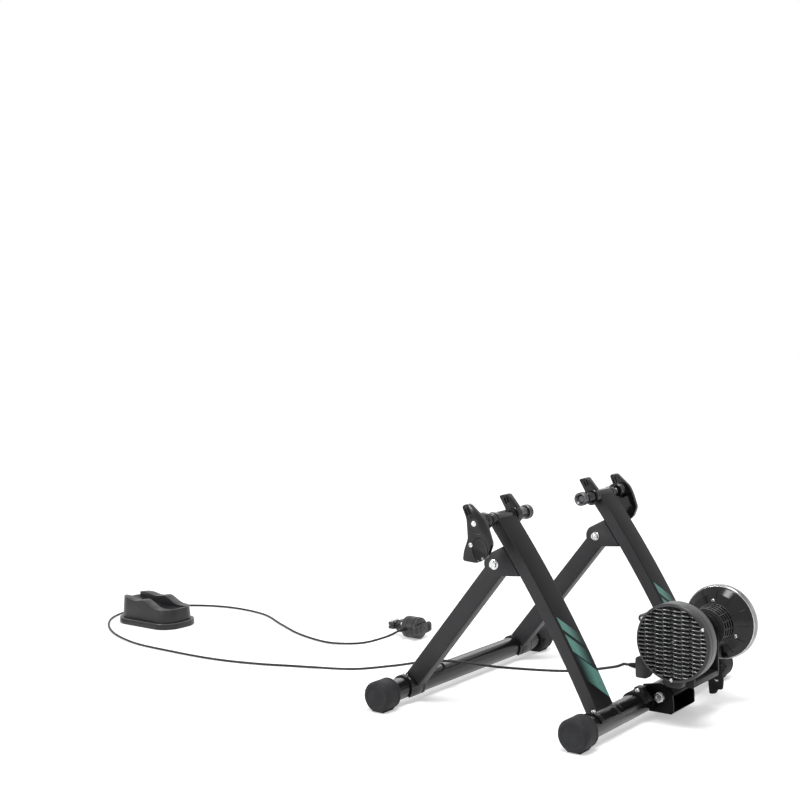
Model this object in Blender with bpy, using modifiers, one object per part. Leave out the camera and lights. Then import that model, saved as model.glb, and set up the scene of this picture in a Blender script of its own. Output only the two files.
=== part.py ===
"""Folding bike trainer: an A-frame that holds the rear axle, a resistance unit that the tyre
turns, a lever remote on its cable, and the block under the front wheel.

Metres, +Z up. The bike would face -X, with its left side towards -Y. Every x below is counted
from the wheel axle, which the axle_datum empty carries.
"""

import math

import bmesh
import bpy
from mathutils import Matrix, Vector

# Sides of round pieces, from wide ones to pins; multiples of four keep bores and shafts in step
wide_steps = 28
round_steps = 20
small_steps = 12
pin_steps = 8

# Clearances
gap = 0.0003                  # between pieces that touch
turning_gap = 0.0006          # around a pin that a piece turns on
running_gap = 0.0008          # beside pieces that turn
past = 0.010                  # how far a cutter runs past a face

# Base tubes and their end caps
tube_radius = 0.0205
tube_wall = 0.0016
tube_height = 0.0295          # centre above the floor
rear_tube_x = 0.2046
front_tube_x = -0.2155
base_half_width = 0.296       # to the end face of a cap
cap_radius = 0.0288
cap_length = 0.043
cap_end_wall = 0.004
cap_round = 0.004
cap_foot_width = 0.030

# Legs
leg_inset = 0.1115            # middle of a leg from the end face of a cap
leg_wall = 0.0016
rear_leg_depth = 0.025
rear_leg_width = 0.057
rear_leg_bow = 0.0095
rear_leg_start = 0.006        # below the clamp tube's axis
leg_head_solid = 0.024        # of the front leg, below the fold bolt
front_leg_depth = 0.036
front_leg_width = 0.026
leg_edge = 0.002

# Fold joint
pivot_height = 0.287
pivot_stand_off = 0.0476      # ahead of the rear leg's middle line
pivot_bolt_radius = 0.004
pivot_flange_radius = 0.0095
pivot_hex_radius = 0.0075
pivot_head_height = 0.006
pivot_nut_height = 0.006
bracket_plate = 0.003
bracket_round = 0.022
bracket_above = 0.0172        # how far the channel reaches along the leg from the bolt
bracket_below = 0.0448
bracket_nose_start = 128
bracket_nose_end = 290

# Saddles between legs and tubes
saddle_wall = 0.0025
saddle_half_angle = 98.0
saddle_inner_margin = 0.004
saddle_outer_margin = 0.017
saddle_screw_radius = 0.0040
saddle_screw_height = 0.0035

# Axle clamps
axle_height = 0.3687
clamp_tube_radius = 0.012
clamp_tube_overhang = 0.0425  # outside the middle of the leg
clamp_tube_clearance = 0.007  # between the cup and the clamp tube
spindle_radius = 0.008
cup_face_y = 0.0965
cup_length = 0.0125
cup_radius = 0.0135
cup_recess_radius = 0.0095
cup_recess_depth = 0.006
hub_clearance = 0.012         # between the clamp tube and the hub
hub_length = 0.030
hub_radius = 0.0165
spindle_reach = 0.012         # into the handle's hub
finger_slot_length = 0.010
finger_slot_height = 0.0024
finger_slot_shift = 0.0060
finger_slot_drop = 0.0065
finger_slot_x = -0.0120
paddle_slot_z = 0.0235        # above the axle
wing_slot_z = 0.0275
paddle_height = 0.106
paddle_thickness = 0.009
paddle_edge = 0.0015
paddle_round = 0.006
handle_screw_radius = 0.0052
handle_screw_height = 0.0025
wing_to_leg = 0.0385          # between the middles of a wing and a leg
wing_width = 0.014
wing_height = 0.040
wing_round = 0.004
wing_ring_radius = 0.0170

# Resistance unit
unit_x = 0.2845
unit_height = 0.1535
drum_radius = 0.070
drum_face_radius = 0.0635
drum_face_y = -0.085
drum_back_y = -0.048
drum_wall = 0.0025
drum_back_wall = 0.003
cover_depth = 0.006
cover_screw_radius = 0.0030
cover_screw_proud = 0.0012
cover_screw_inset = 0.0055    # from the drum's edge
cover_screw_angles = (27, 153, 268)
drum_lug_radius = 0.0075
drum_lug_angle = 153
drum_tab_size = 0.043
drum_tab_thickness = 0.016
drum_foot_size = 0.083
drum_foot_thickness = 0.020
louvre_pitch = 0.0066
louvre_slot = 0.0032
louvre_slant = 0.5
louvre_radius = 0.0575
louvre_bar_pitch = 0.0245
louvre_bar_width = 0.0030
unit_axle_radius = 0.0040
shaft_clearance = 0.0028      # around the axle where it passes a wall
unit_axle_start = -0.0760
unit_axle_end = 0.1370
axle_nut_radius = 0.0085
axle_nut_height = 0.0050
bearing_radius = 0.0110
bearing_width = 0.0070
bearing_wall = 0.0025
roller_radius = 0.0195
roller_start = -0.0385
roller_end = 0.0470
disc_radius = 0.0500
disc_thickness = 0.0040
disc_y = -0.0700
disc_vents = 6
disc_vent_radius = 0.0070
disc_vent_circle = 0.0275
carrier_y = -0.0625
carrier_thickness = 0.0035
carrier_radius = 0.0480
carrier_half_angle = 100
carrier_rim = 0.0045          # behind the boss
magnet_radius = 0.0085
magnet_circle = 0.0362
magnet_proud = 0.0018
magnet_angles = (-66, -22, 22, 66)
yoke_plate = 0.0045
yoke_boss_radius = 0.0260
yoke_top = 0.0800             # height of the bridge under the roller
yoke_bridge = 0.0120
yoke_waist = 0.0540
yoke_lug_round = 0.0070
pin_ear_wall = 0.0050
pin_ear_length = 0.0060
cage_radius = 0.0350
cage_flare = 0.0400
cage_start = 0.0580
cage_end = 0.0910
cage_wall = 0.0022
cage_ribs = 10
cage_rows = 3
cage_rib_share = 0.3          # of a rib's pitch
cage_floor = 0.0030
cage_seat = 0.0015            # of the floor, under the bearing
dish_start = 0.0935
dish_inner_radius = 0.0390
dish_outer_radius = 0.0660
dish_wall = 0.0022
dish_ribs = 10
dish_rib_height = 0.0022
dish_rib_width = 0.0022
dish_waist_share = 0.55
dish_waist_depth = 0.34
dish_floor_share = 0.30
flywheel_radius = 0.0700
flywheel_start = 0.1150
flywheel_end = 0.1300
flywheel_bead = 0.0030
flywheel_recess_radius = 0.0560
flywheel_recess = 0.0060
flywheel_hub_radius = 0.0160
flywheel_draft = 0.0020
roller_groove = 0.0012
roller_groove_inset = 0.0100

# Unit bracket, pivot and tension lever
swing_x = 0.2380
swing_height = 0.0410
swing_bolt_radius = 0.0050
swing_hex_radius = 0.0098
swing_head_height = 0.0060
swing_nut_height = 0.0070
ear_start = -0.0400
ear_end = 0.0485
ear_thickness = 0.0035
ear_round = 0.0250
ear_bottom = 0.0120
ear_reach = 0.2640
collar_start = -0.0780
collar_end = -0.0480
collar_wall = 0.0040
collar_block_length = 0.0160
collar_block_height = 0.0110
collar_screw_radius = 0.0042
lever_pin_x = 0.2860
lever_pin_height = 0.0660
lever_pin_radius = 0.0040
lever_pin_overhang = 0.0105   # past the lever's outer face
lever_plate_y = 0.1000
lever_plate = 0.0050
lever_length = 0.0590
lever_round = 0.0045
lever_slot_radius = 0.0042
lever_slot_stretch = 0.0030
lever_slot_drop = 0.0190
lobe_radius = 0.0085
lobe_height = 0.0100

# Cable and its outlet boot
cable_radius = 0.0025
cable_points = 60             # along its route
boot_x = 0.2060
boot_y = -0.0560
boot_height = 0.0960
boot_radius = 0.0055
boot_length = 0.016

# Handlebar remote, lying on the floor; its drum axis runs along X
remote_x = -0.5350
remote_y = 0.2150
remote_radius = 0.0250
remote_length = 0.0420
remote_bar_radius = 0.0111
remote_band_wall = 0.0032
remote_band_width = 0.0180
remote_lug_length = 0.0180
remote_lug_width = 0.0300
remote_lug_thickness = 0.0160
remote_plate = 0.0050
remote_plate_length = 0.0680
remote_plate_width = 0.0260
remote_plate_round = 0.0040
remote_boss_radius = 0.0110
remote_neck_height = 0.0240
remote_neck_reach = 0.0060
remote_slit = 0.0016
remote_edge = 0.0040
clamp_screw_radius = 0.0025
clamp_screw_head_radius = 0.0045
clamp_screw_head_height = 0.0032
clamp_screw_spacing = 0.0168

# Front wheel riser
riser_x = -1.1550
riser_length = 0.2000
riser_width = 0.1150
riser_plinth = 0.0150
riser_ledge = 0.0080
riser_high = 0.0660
riser_low = 0.0460
riser_corner = 0.0450
riser_wall = 0.0040           # of the hollow underside
riser_rib = 0.0040
riser_pocket_depth = 0.0350
riser_pocket_corner = 0.0250
riser_taper_length = 0.05
riser_taper_width = 0.10
riser_edge = 0.0025
front_wheel_x = -1.1324
front_wheel_radius = 0.3375
groove_floor = 0.0400
groove_width = 0.0460
groove_steps = 96

# The part's origin is the middle of its length, on the floor
overall_front_x = riser_x - riser_length / 2
overall_rear_x = unit_x + flywheel_radius
axle_x = -(overall_front_x + overall_rear_x) / 2

# Route of the cable from the boot to the remote, as (x, y, height of its underside)
cable_route = [
    (0.150, -0.0580, 0.0840),
    (0.060, -0.0620, 0.0650),
    (-0.080, -0.0700, 0.0535),
    (-0.2155, -0.0850, 0.0511),
    (-0.330, -0.0960, 0.0270),
    (-0.430, -0.1060, 0.0080),
    (-0.540, -0.1230, 0.0006),
    (-0.650, -0.1620, 0.0002),
    (-0.760, -0.1850, 0.0002),
    (-0.900, -0.1890, 0.0002),
    (-1.040, -0.1790, 0.0002),
    (-1.180, -0.1250, 0.0002),
    (-1.285, -0.0330, 0.0002),
    (-1.310, 0.0700, 0.0002),
    (-1.250, 0.1620, 0.0002),
    (-1.130, 0.2150, 0.0002),
    (-0.990, 0.2050, 0.0002),
    (-0.870, 0.1450, 0.0002),
    (-0.760, 0.0920, 0.0002),
    (-0.650, 0.0660, 0.0004),
    (-0.568, 0.0860, 0.0050),
    (-0.528, 0.1300, 0.0160),
]

# Outlines, as shares of a named size, from the piece's own centre
paddle_outline = [  # of paddle_height, from the wheel axle
    (-0.236, 0.283), (-0.075, 0.340), (0.189, 0.094), (0.245, -0.038), (0.340, -0.321), (0.255, -0.528),
    (0.047, -0.660), (-0.245, -0.642), (-0.217, -0.472), (-0.132, -0.264), (-0.151, 0.075),
]
wing_outline = [  # of wing_height, from the wheel axle
    (-0.650, 0.825), (-0.200, 1.000), (0.300, 0.400), (0.300, 0.100), (-0.250, 0.100), (-0.400, 0.350),
]
drum_tab_outline = [  # of drum_tab_size, from the cable outlet
    (-0.093, -0.442), (0.419, -0.442), (0.791, 0.093), (0.465, 0.558), (-0.093, 0.419),
]
drum_foot_outline = [  # of drum_foot_size, from the unit's axis
    (-0.361, -0.542), (-0.265, -1.000), (0.120, -1.000), (0.313, -0.542),
]
lever_outline = [  # of lever_length, from the lever's pin
    (-0.102, 0.203), (0.153, 0.136), (0.203, -0.339), (0.169, -0.610), (0.017, -0.610), (-0.051, -0.763),
    (-0.271, -0.797), (-0.305, -0.407), (-0.203, -0.102),
]
remote_plate_outline = [  # of half the plate's length and half its width
    (-1, 0.55), (-0.55, 0.75), (0, 0.95), (0.35, 0.80), (0.75, 1), (1, 0.60), (1, -0.80), (0.5, -1),
    (-0.5, -1), (-1, -0.70),
]
riser_top_line = [  # share of the half length, drop below the high end, rise above the low end
    (-1.20, 0.004, None), (-0.72, 0.000, None), (-0.30, 0.006, None), (0.00, 0.002, None),
    (0.16, 0.006, None), (0.42, None, 0.002), (0.70, None, 0.000), (1.20, None, 0.001),
]

paints = {
    "frame_black": ((0.012, 0.012, 0.014), 0.38, 0.0),
    "leg_grey": ((0.030, 0.030, 0.033), 0.42, 0.0),
    "cap_rubber": ((0.052, 0.052, 0.055), 0.62, 0.0),
    "zinc": ((0.62, 0.62, 0.60), 0.32, 1.0),
    "gloss_black": ((0.008, 0.008, 0.009), 0.16, 0.0),
    "drum_plastic": ((0.028, 0.028, 0.031), 0.48, 0.0),
    "bright_steel": ((0.72, 0.72, 0.72), 0.14, 1.0),
    "dark_steel": ((0.09, 0.09, 0.095), 0.40, 1.0),
    "roller_metal": ((0.36, 0.36, 0.37), 0.42, 1.0),
    "aluminium": ((0.74, 0.75, 0.76), 0.30, 1.0),
    "nylon": ((0.70, 0.69, 0.65), 0.55, 0.0),
    "cable_jacket": ((0.010, 0.010, 0.010), 0.50, 0.0),
    "riser_plastic": ((0.040, 0.040, 0.043), 0.55, 0.0),
}


# Scene set-up

for old in list(bpy.data.objects):
    bpy.data.objects.remove(old, do_unlink=True)

parts = bpy.data.collections.new("bike_trainer")
cutters = bpy.data.collections.new("cutters")
bpy.context.scene.collection.children.link(parts)
bpy.context.scene.collection.children.link(cutters)

bodies = {}


def make_paint(name):
    colour, roughness, metallic = paints[name]
    material = bpy.data.materials.new(name)
    material.use_nodes = True
    shader = material.node_tree.nodes["Principled BSDF"]
    shader.inputs["Base Color"].default_value = (*colour, 1.0)
    shader.inputs["Roughness"].default_value = roughness
    shader.inputs["Metallic"].default_value = metallic
    material.diffuse_color = (*colour, 1.0)
    return material


materials = {name: make_paint(name) for name in paints}


def make_body(name, x=0.0, y=0.0, z=0.0):
    """An empty on a body's joint axis; its pieces hang on it."""
    empty = bpy.data.objects.new(name, None)
    empty.empty_display_size = 0.03
    parts.objects.link(empty)
    if bodies:
        empty.parent = bodies["axle_datum"]
    empty.location = (x, y, z)
    bodies[name] = empty
    return empty


def finish(shape, body, paint):
    """Gives the shape its material and hangs it on its body."""
    shape.data.materials.clear()
    shape.data.materials.append(materials[paint])
    shape.parent = bodies[body]
    if body != "axle_datum":
        shape.location = -bodies[body].location
    return shape


# Shapes

def evaluated_mesh(source, name, matrix=None):
    """The source with its modifiers applied, as a welded mesh in place of the source."""
    graph = bpy.context.evaluated_depsgraph_get()
    mesh = bpy.data.meshes.new_from_object(source.evaluated_get(graph))
    mesh.name = name
    bpy.data.objects.remove(source, do_unlink=True)
    if matrix is not None:
        mesh.transform(matrix)
    built = bmesh.new()
    built.from_mesh(mesh)
    bmesh.ops.remove_doubles(built, verts=built.verts, dist=1e-6)
    bmesh.ops.dissolve_degenerate(built, edges=built.edges, dist=1e-6)
    bmesh.ops.recalc_face_normals(built, faces=built.faces)
    built.to_mesh(mesh)
    built.free()
    return new_shape(name, mesh)


def new_shape(name, mesh):
    mesh.shade_smooth()
    mesh.set_sharp_from_angle(angle=math.radians(32))
    shape = bpy.data.objects.new(name, mesh)
    parts.objects.link(shape)
    return shape


def along_y(x, y, z):
    """Local Z becomes +Y."""
    return Matrix.Translation((x, y, z)) @ Matrix.Rotation(math.radians(-90), 4, "X")


def in_xz(y):
    """A flat outline (x, z) standing at y."""
    return Matrix.Translation((0, y, 0)) @ Matrix.Rotation(math.radians(90), 4, "X")


def in_xy(z):
    return Matrix.Translation((0, 0, z))


def arc(x, z, radius, start, end, count):
    """Points of an arc in degrees, both ends included."""
    turns = [math.radians(start + (end - start) * i / (count - 1)) for i in range(count)]
    return [(x + radius * math.cos(a), z + radius * math.sin(a)) for a in turns]


def scaled(outline, size, x, z):
    """An outline given as shares of a size, placed at (x, z)."""
    return [(x + u * size, z + v * size) for u, v in outline]


def circle(x, z, radius, count=round_steps):
    return arc(x, z, radius, 0, 360 - 360 / count, count)


def rounded(points, radius, count=4):
    """The outline with each corner made round."""
    outline = []
    for i, point in enumerate(points):
        corner = Vector(point)
        back = (Vector(points[i - 1]) - corner)
        ahead = (Vector(points[(i + 1) % len(points)]) - corner)
        half = back.angle(ahead) / 2
        limit = 0.48 * min(back.length, ahead.length)
        reach = min(radius / math.tan(half), limit)
        middle = (back.normalized() + ahead.normalized()).normalized()
        centre = corner + middle * (reach / math.cos(half))
        first = corner + back.normalized() * reach - centre
        last = corner + ahead.normalized() * reach - centre
        turn = first.angle_signed(last)
        for step in range(count):
            spin = Matrix.Rotation(-turn * step / (count - 1), 2)
            outline.append(tuple(centre + spin @ first))
    return outline


def extruded(name, outline, depth, frame, edge=0.0, holes=()):
    """A flat outline given a thickness; edge chamfers its rims."""
    curve = bpy.data.curves.new(name, "CURVE")
    curve.dimensions = "2D"
    curve.fill_mode = "BOTH"
    curve.extrude = depth / 2 - edge
    curve.bevel_depth = edge
    curve.bevel_resolution = 0
    curve.offset = -edge
    for ring in (outline, *holes):
        spline = curve.splines.new("POLY")
        spline.points.add(len(ring) - 1)
        for point, (u, v) in zip(spline.points, ring):
            point.co = (u, v, 0, 1)
        spline.use_cyclic_u = True
    source = bpy.data.objects.new(name + "_outline", curve)
    parts.objects.link(source)
    return evaluated_mesh(source, name, frame)


def turned(name, profile, frame, steps=round_steps, ring=False):
    """A profile of (radius, height) points, top to bottom down its outer side, turned about Z."""
    mesh = bpy.data.meshes.new(name)
    count = len(profile)
    edges = [(i, i + 1) for i in range(count - 1)]
    if ring:
        edges.append((count - 1, 0))
    mesh.from_pydata([(radius, 0, height) for radius, height in profile], edges, [])
    source = bpy.data.objects.new(name + "_profile", mesh)
    parts.objects.link(source)
    screw = source.modifiers.new("Turn", "SCREW")
    screw.steps = steps
    screw.render_steps = steps
    screw.use_merge_vertices = True
    screw.merge_threshold = 1e-5
    return evaluated_mesh(source, name, frame)


def box(name, low, high, bevel=0.0):
    built = bmesh.new()
    bmesh.ops.create_cube(built, size=1.0)
    size = Vector(high) - Vector(low)
    centre = (Vector(high) + Vector(low)) / 2
    for vertex in built.verts:
        vertex.co = Vector(a * b for a, b in zip(vertex.co, size)) + centre
    mesh = bpy.data.meshes.new(name)
    built.to_mesh(mesh)
    built.free()
    shape = new_shape(name, mesh)
    if bevel:
        soft = shape.modifiers.new("Edges", "BEVEL")
        soft.width = bevel
        soft.segments = 2
        return evaluated_mesh(shape, name)
    return shape


def rod(name, start, end, radius, steps=small_steps):
    """A cylinder from one point to another."""
    start = Vector(start)
    run = Vector(end) - start
    built = bmesh.new()
    bmesh.ops.create_cone(
        built, cap_ends=True, segments=steps, radius1=radius, radius2=radius, depth=run.length
    )
    mesh = bpy.data.meshes.new(name)
    built.to_mesh(mesh)
    built.free()
    spin = Vector((0, 0, 1)).rotation_difference(run)
    mesh.transform(Matrix.Translation(start + run / 2) @ spin.to_matrix().to_4x4())
    return new_shape(name, mesh)


def mirror_across_wheel(shape):
    shape.data.transform(Matrix.Scale(-1, 4, (0, 1, 0)))
    shape.data.flip_normals()


def combine(target, tool, operation):
    """Adds a live Boolean to the target and puts the tool away."""
    parts.objects.unlink(tool)
    cutters.objects.link(tool)
    tool.name = tool.name + "_tool"
    tool.parent = bodies["axle_datum"]
    tool.hide_render = True
    tool.display_type = "WIRE"
    step = target.modifiers.new(operation.title(), "BOOLEAN")
    step.operation = operation
    step.object = tool
    step.solver = "EXACT"
    return target


def cut(target, *tools):
    for tool in tools:
        combine(target, tool, "DIFFERENCE")
    return target


def join(target, *tools):
    for tool in tools:
        combine(target, tool, "UNION")
    return target


def ring_along_y(name, outer, inner, start, end, x, z, steps=round_steps):
    profile = [(outer, end - start), (outer, 0), (inner, 0), (inner, end - start)]
    return turned(name, profile, along_y(x, start, z), steps, ring=True)


def hexagon(x, z, radius):
    return circle(x, z, radius, 6)


# Lines that the legs follow

rear_foot = Vector((rear_tube_x, tube_height))
front_foot = Vector((front_tube_x, tube_height))
leg_top = Vector((0.0, axle_height))
saddle_outer = tube_radius + gap + saddle_wall
leg_centre_y = base_half_width - leg_inset
clamp_tube_inner_y = cup_face_y + cup_length + clamp_tube_clearance
clamp_tube_outer_y = leg_centre_y + clamp_tube_overhang
hub_inner_y = clamp_tube_outer_y + hub_clearance
hub_outer_y = hub_inner_y + hub_length
wing_centre_y = leg_centre_y - wing_to_leg

leg_chord = (rear_foot - leg_top).length
bow_radius = leg_chord ** 2 / (8 * rear_leg_bow) + rear_leg_bow / 2
chord_direction = (rear_foot - leg_top).normalized()
chord_normal = Vector((-chord_direction.y, chord_direction.x))
bow_centre = (leg_top + rear_foot) / 2 - chord_normal * (bow_radius - rear_leg_bow)


def rear_leg_point(along, offset):
    """A point beside the bowed leg: along counts from its top, offset is positive to the rear."""
    start = leg_top - bow_centre
    spin = Matrix.Rotation(-along / bow_radius, 2)
    return tuple(bow_centre + (spin @ start) * (1 + offset / bow_radius))


def bowed_band(start, end, near, far, count=9):
    """Outline of a band beside the rear leg, from one offset to another."""
    stations = [start + (end - start) * i / (count - 1) for i in range(count)]
    return [rear_leg_point(s, far) for s in stations] + [
        rear_leg_point(s, near) for s in reversed(stations)
    ]


pivot_rise = pivot_height - bow_centre.y
pivot_radius = bow_radius - pivot_stand_off
pivot = Vector((bow_centre.x + math.sqrt(pivot_radius ** 2 - pivot_rise ** 2), pivot_height))
pivot_along = bow_radius * abs((leg_top - bow_centre).angle_signed(pivot - bow_centre))
fold_direction = (front_foot - pivot).normalized()
fold_normal = Vector((-fold_direction.y, fold_direction.x))
fold_angle = math.degrees(math.atan2(fold_direction.y, fold_direction.x))
front_leg_length = (front_foot - pivot).length


# Bodies

make_body("axle_datum", axle_x)
make_body("rear_frame")
make_body("front_frame", pivot.x, 0, pivot.y)
make_body("swing_unit", swing_x, 0, swing_height)
make_body("rotor", unit_x, 0, unit_height)
make_body("magnet_carrier", unit_x, 0, unit_height)
make_body("tension_lever", lever_pin_x, lever_plate_y, lever_pin_height)
make_body("remote_lever", remote_x, remote_y, remote_radius + gap)
sides = {"left": -1, "right": 1}
for side_name, side in sides.items():
    make_body("clamp_slide_" + side_name, 0, side * cup_face_y, axle_height)
    make_body("clamp_handle_" + side_name, 0, side * hub_outer_y, axle_height)
    make_body("lock_wing_" + side_name, 0, side * wing_centre_y, axle_height)


def span(side, near, far):
    """Two distances from the wheel plane, ordered along Y."""
    return sorted((side * near, side * far))


# Base

def base_tube(name, x, body):
    end = base_half_width - cap_end_wall - gap
    tube = ring_along_y(name, tube_radius, tube_radius - tube_wall, -end, end, x, tube_height)
    return finish(tube, body, "frame_black")


def end_cap(name, x, side, body):
    """A moulded cup over the tube's end, with a flat foot below."""
    mouth = base_half_width - cap_length
    bore = tube_radius + gap
    profile = [
        (0, base_half_width),
        (cap_radius - cap_round, base_half_width),
        (cap_radius, base_half_width - cap_round),
        (cap_radius, mouth + cap_round / 2),
        (cap_radius - cap_round / 2, mouth),
        (0, mouth),
    ]
    cap = turned(name, profile, along_y(x, 0, tube_height))
    foot = box(
        name + "_foot",
        (x - cap_foot_width / 2, mouth + cap_round, 0),
        (x + cap_foot_width / 2, base_half_width - cap_round, tube_height / 2),
    )
    socket = rod(name + "_bore", (x, mouth - cap_length, tube_height),
                 (x, base_half_width - cap_end_wall, tube_height), bore, round_steps)
    if side < 0:
        for shape in (cap, foot, socket):
            mirror_across_wheel(shape)
    join(cap, foot)
    cut(cap, socket)
    return finish(cap, body, "cap_rubber")


def saddle(name, x, side, leg_width, lean, body):
    """A bent plate over the tube that the leg stands on, with its screw on the outer side."""
    outer = saddle_outer
    inner = tube_radius + gap
    start, end = lean - saddle_half_angle, lean + saddle_half_angle
    outline = arc(x, tube_height, outer, start, end, 11) + arc(x, tube_height, inner, end, start, 11)
    near = leg_centre_y - leg_width / 2 - saddle_inner_margin
    far = leg_centre_y + leg_width / 2 + saddle_outer_margin
    low, high = span(side, near, far)
    plate = extruded(name, outline, high - low, in_xz((low + high) / 2))
    screw_y = side * (far - saddle_outer_margin / 2)
    top = tube_height + outer
    screw = rod(name + "_screw", (x, screw_y, top - saddle_wall / 2),
                (x, screw_y, top + saddle_screw_height), saddle_screw_radius, pin_steps)
    join(plate, screw)
    return finish(plate, body, "frame_black")


base_tube("rear_base_tube", rear_tube_x, "rear_frame")
base_tube("front_base_tube", front_tube_x, "front_frame")
rear_lean = math.degrees(math.atan2(*reversed(tuple(leg_top - rear_foot))))
front_lean = math.degrees(math.atan2(*reversed(tuple(pivot - front_foot))))
for side_name, side in sides.items():
    end_cap("rear_cap_" + side_name, rear_tube_x, side, "rear_frame")
    end_cap("front_cap_" + side_name, front_tube_x, side, "front_frame")
    saddle("rear_saddle_" + side_name, rear_tube_x, side, rear_leg_width, rear_lean, "rear_frame")
    saddle("front_saddle_" + side_name, front_tube_x, side, front_leg_width, front_lean, "front_frame")


# Legs

def rear_leg(name, side):
    """A bowed rectangular tube from the clamp tube down to its saddle."""
    half, hollow = rear_leg_depth / 2, rear_leg_depth / 2 - leg_wall
    foot = leg_chord - tube_radius / 2
    outline = bowed_band(rear_leg_start, foot, -half, half, 7)
    y = side * leg_centre_y
    leg = extruded(name, outline, rear_leg_width, in_xz(y), leg_edge)
    low, high = y - rear_leg_width, y + rear_leg_width
    inside = bowed_band(-tube_radius, foot + tube_radius, -hollow, hollow, 7)
    cut(
        leg,
        extruded(name + "_inside", inside, rear_leg_width - 2 * leg_wall, in_xz(y)),
        rod(name + "_top_cut", (0, low, axle_height), (0, high, axle_height),
            clamp_tube_radius + gap, round_steps),
        rod(name + "_foot_cut", (rear_tube_x, low, tube_height), (rear_tube_x, high, tube_height),
            saddle_outer + gap, round_steps),
    )
    return finish(leg, "rear_frame", "leg_grey")


def front_leg(name, side):
    """A straight rectangular tube with a round head on the fold bolt."""
    half = front_leg_depth / 2
    foot = front_leg_length - tube_radius / 2
    head = arc(pivot.x, pivot.y, half, fold_angle + 90, fold_angle + 270, 9)
    ends = [
        tuple(pivot + fold_direction * foot - fold_normal * half),
        tuple(pivot + fold_direction * foot + fold_normal * half),
    ]
    y = side * leg_centre_y
    leg = extruded(name, head + ends, front_leg_width, in_xz(y), leg_edge)
    low, high = y - front_leg_width, y + front_leg_width
    hollow = half - leg_wall
    inside = [
        tuple(pivot + fold_direction * along + fold_normal * across)
        for along, across in ((leg_head_solid, hollow), (leg_head_solid, -hollow),
                              (front_leg_length, -hollow), (front_leg_length, hollow))
    ]
    cut(
        leg,
        extruded(name + "_inside", inside, front_leg_width - 2 * leg_wall, in_xz(y)),
        rod(name + "_bolt_cut", (pivot.x, low, pivot.y), (pivot.x, high, pivot.y),
            pivot_bolt_radius + turning_gap, small_steps),
        rod(name + "_foot_cut", (front_tube_x, low, tube_height), (front_tube_x, high, tube_height),
            saddle_outer + gap, round_steps),
    )
    return finish(leg, "front_frame", "leg_grey")


def hinge_bracket(name, side):
    """A channel on the rear leg's front face; its cheeks carry the fold bolt."""
    face = -rear_leg_depth / 2 - gap
    y = side * leg_centre_y
    nose = arc(pivot.x, pivot.y, bracket_round, bracket_nose_start, bracket_nose_end, 8)
    top, bottom = pivot_along - bracket_above, pivot_along + bracket_below
    back = bowed_band(top, bottom, face, face, 4)[4:]
    bracket = extruded(name, [*nose, *back], rear_leg_width, in_xz(y))
    reach = rear_leg_width
    ahead = face - bracket_plate
    channel = extruded(
        name + "_channel",
        bowed_band(top - reach, bottom + reach, ahead - reach * 2, ahead, 4),
        rear_leg_width - 2 * bracket_plate,
        in_xz(y),
    )
    bolt_hole = rod(name + "_bolt_cut", (pivot.x, y - reach, pivot.y), (pivot.x, y + reach, pivot.y),
                    pivot_bolt_radius + gap, pin_steps)
    cut(bracket, channel, bolt_hole)
    return finish(bracket, "rear_frame", "leg_grey")


def pivot_bolt(name, side):
    """Hex flange bolt through bracket and leg, with its nut on the inner side."""
    outer = leg_centre_y + rear_leg_width / 2 + gap
    inner = leg_centre_y - rear_leg_width / 2 - gap
    low, high = span(side, inner - pivot_nut_height, outer + pivot_head_height * 0.6)
    bolt = rod(name, (pivot.x, low, pivot.y), (pivot.x, high, pivot.y), pivot_bolt_radius, pin_steps)
    flange_low, flange_high = span(side, outer, outer + pivot_head_height * 0.3)
    flange = rod(name + "_flange", (pivot.x, flange_low, pivot.y), (pivot.x, flange_high, pivot.y),
                 pivot_flange_radius, small_steps)
    head_low, head_high = span(side, outer + pivot_head_height * 0.2, outer + pivot_head_height)
    head = extruded(name + "_head", hexagon(pivot.x, pivot.y, pivot_hex_radius), head_high - head_low,
                    in_xz((head_low + head_high) / 2))
    join(bolt, flange, head)
    finish(bolt, "rear_frame", "zinc")


def pivot_nut(name, side):
    inner = leg_centre_y - rear_leg_width / 2 - gap
    low, high = span(side, inner - pivot_nut_height, inner)
    nut = extruded(name, hexagon(pivot.x, pivot.y, pivot_hex_radius), high - low,
                   in_xz((low + high) / 2))
    cut(nut, rod(name + "_thread", (pivot.x, low - past, pivot.y), (pivot.x, high + past, pivot.y),
                 pivot_bolt_radius + gap, pin_steps))
    finish(nut, "rear_frame", "zinc")


def pivot_bush(name, side, inward):
    """A nylon bush on the bolt, between the front leg and a cheek."""
    leg_side = front_leg_width / 2 + gap
    cheek_side = rear_leg_width / 2 - bracket_plate - gap
    near, far = sorted((leg_centre_y + inward * leg_side, leg_centre_y + inward * cheek_side))
    low, high = span(side, near, far)
    bush = ring_along_y(name, pivot_flange_radius, pivot_bolt_radius + gap, low, high,
                        pivot.x, pivot.y, small_steps)
    finish(bush, "rear_frame", "nylon")


for side_name, side in sides.items():
    rear_leg("rear_leg_" + side_name, side)
    front_leg("front_leg_" + side_name, side)
    hinge_bracket("hinge_bracket_" + side_name, side)
    pivot_bolt("pivot_bolt_" + side_name, side)
    pivot_nut("pivot_nut_" + side_name, side)
    pivot_bush("inner_bush_" + side_name, side, -1)
    pivot_bush("outer_bush_" + side_name, side, 1)


# Axle clamps

def clamp_tube(name, side):
    low, high = span(side, clamp_tube_inner_y, clamp_tube_outer_y)
    tube = ring_along_y(name, clamp_tube_radius, spindle_radius + gap, low, high, 0, axle_height)
    finish(tube, "rear_frame", "frame_black")


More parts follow.
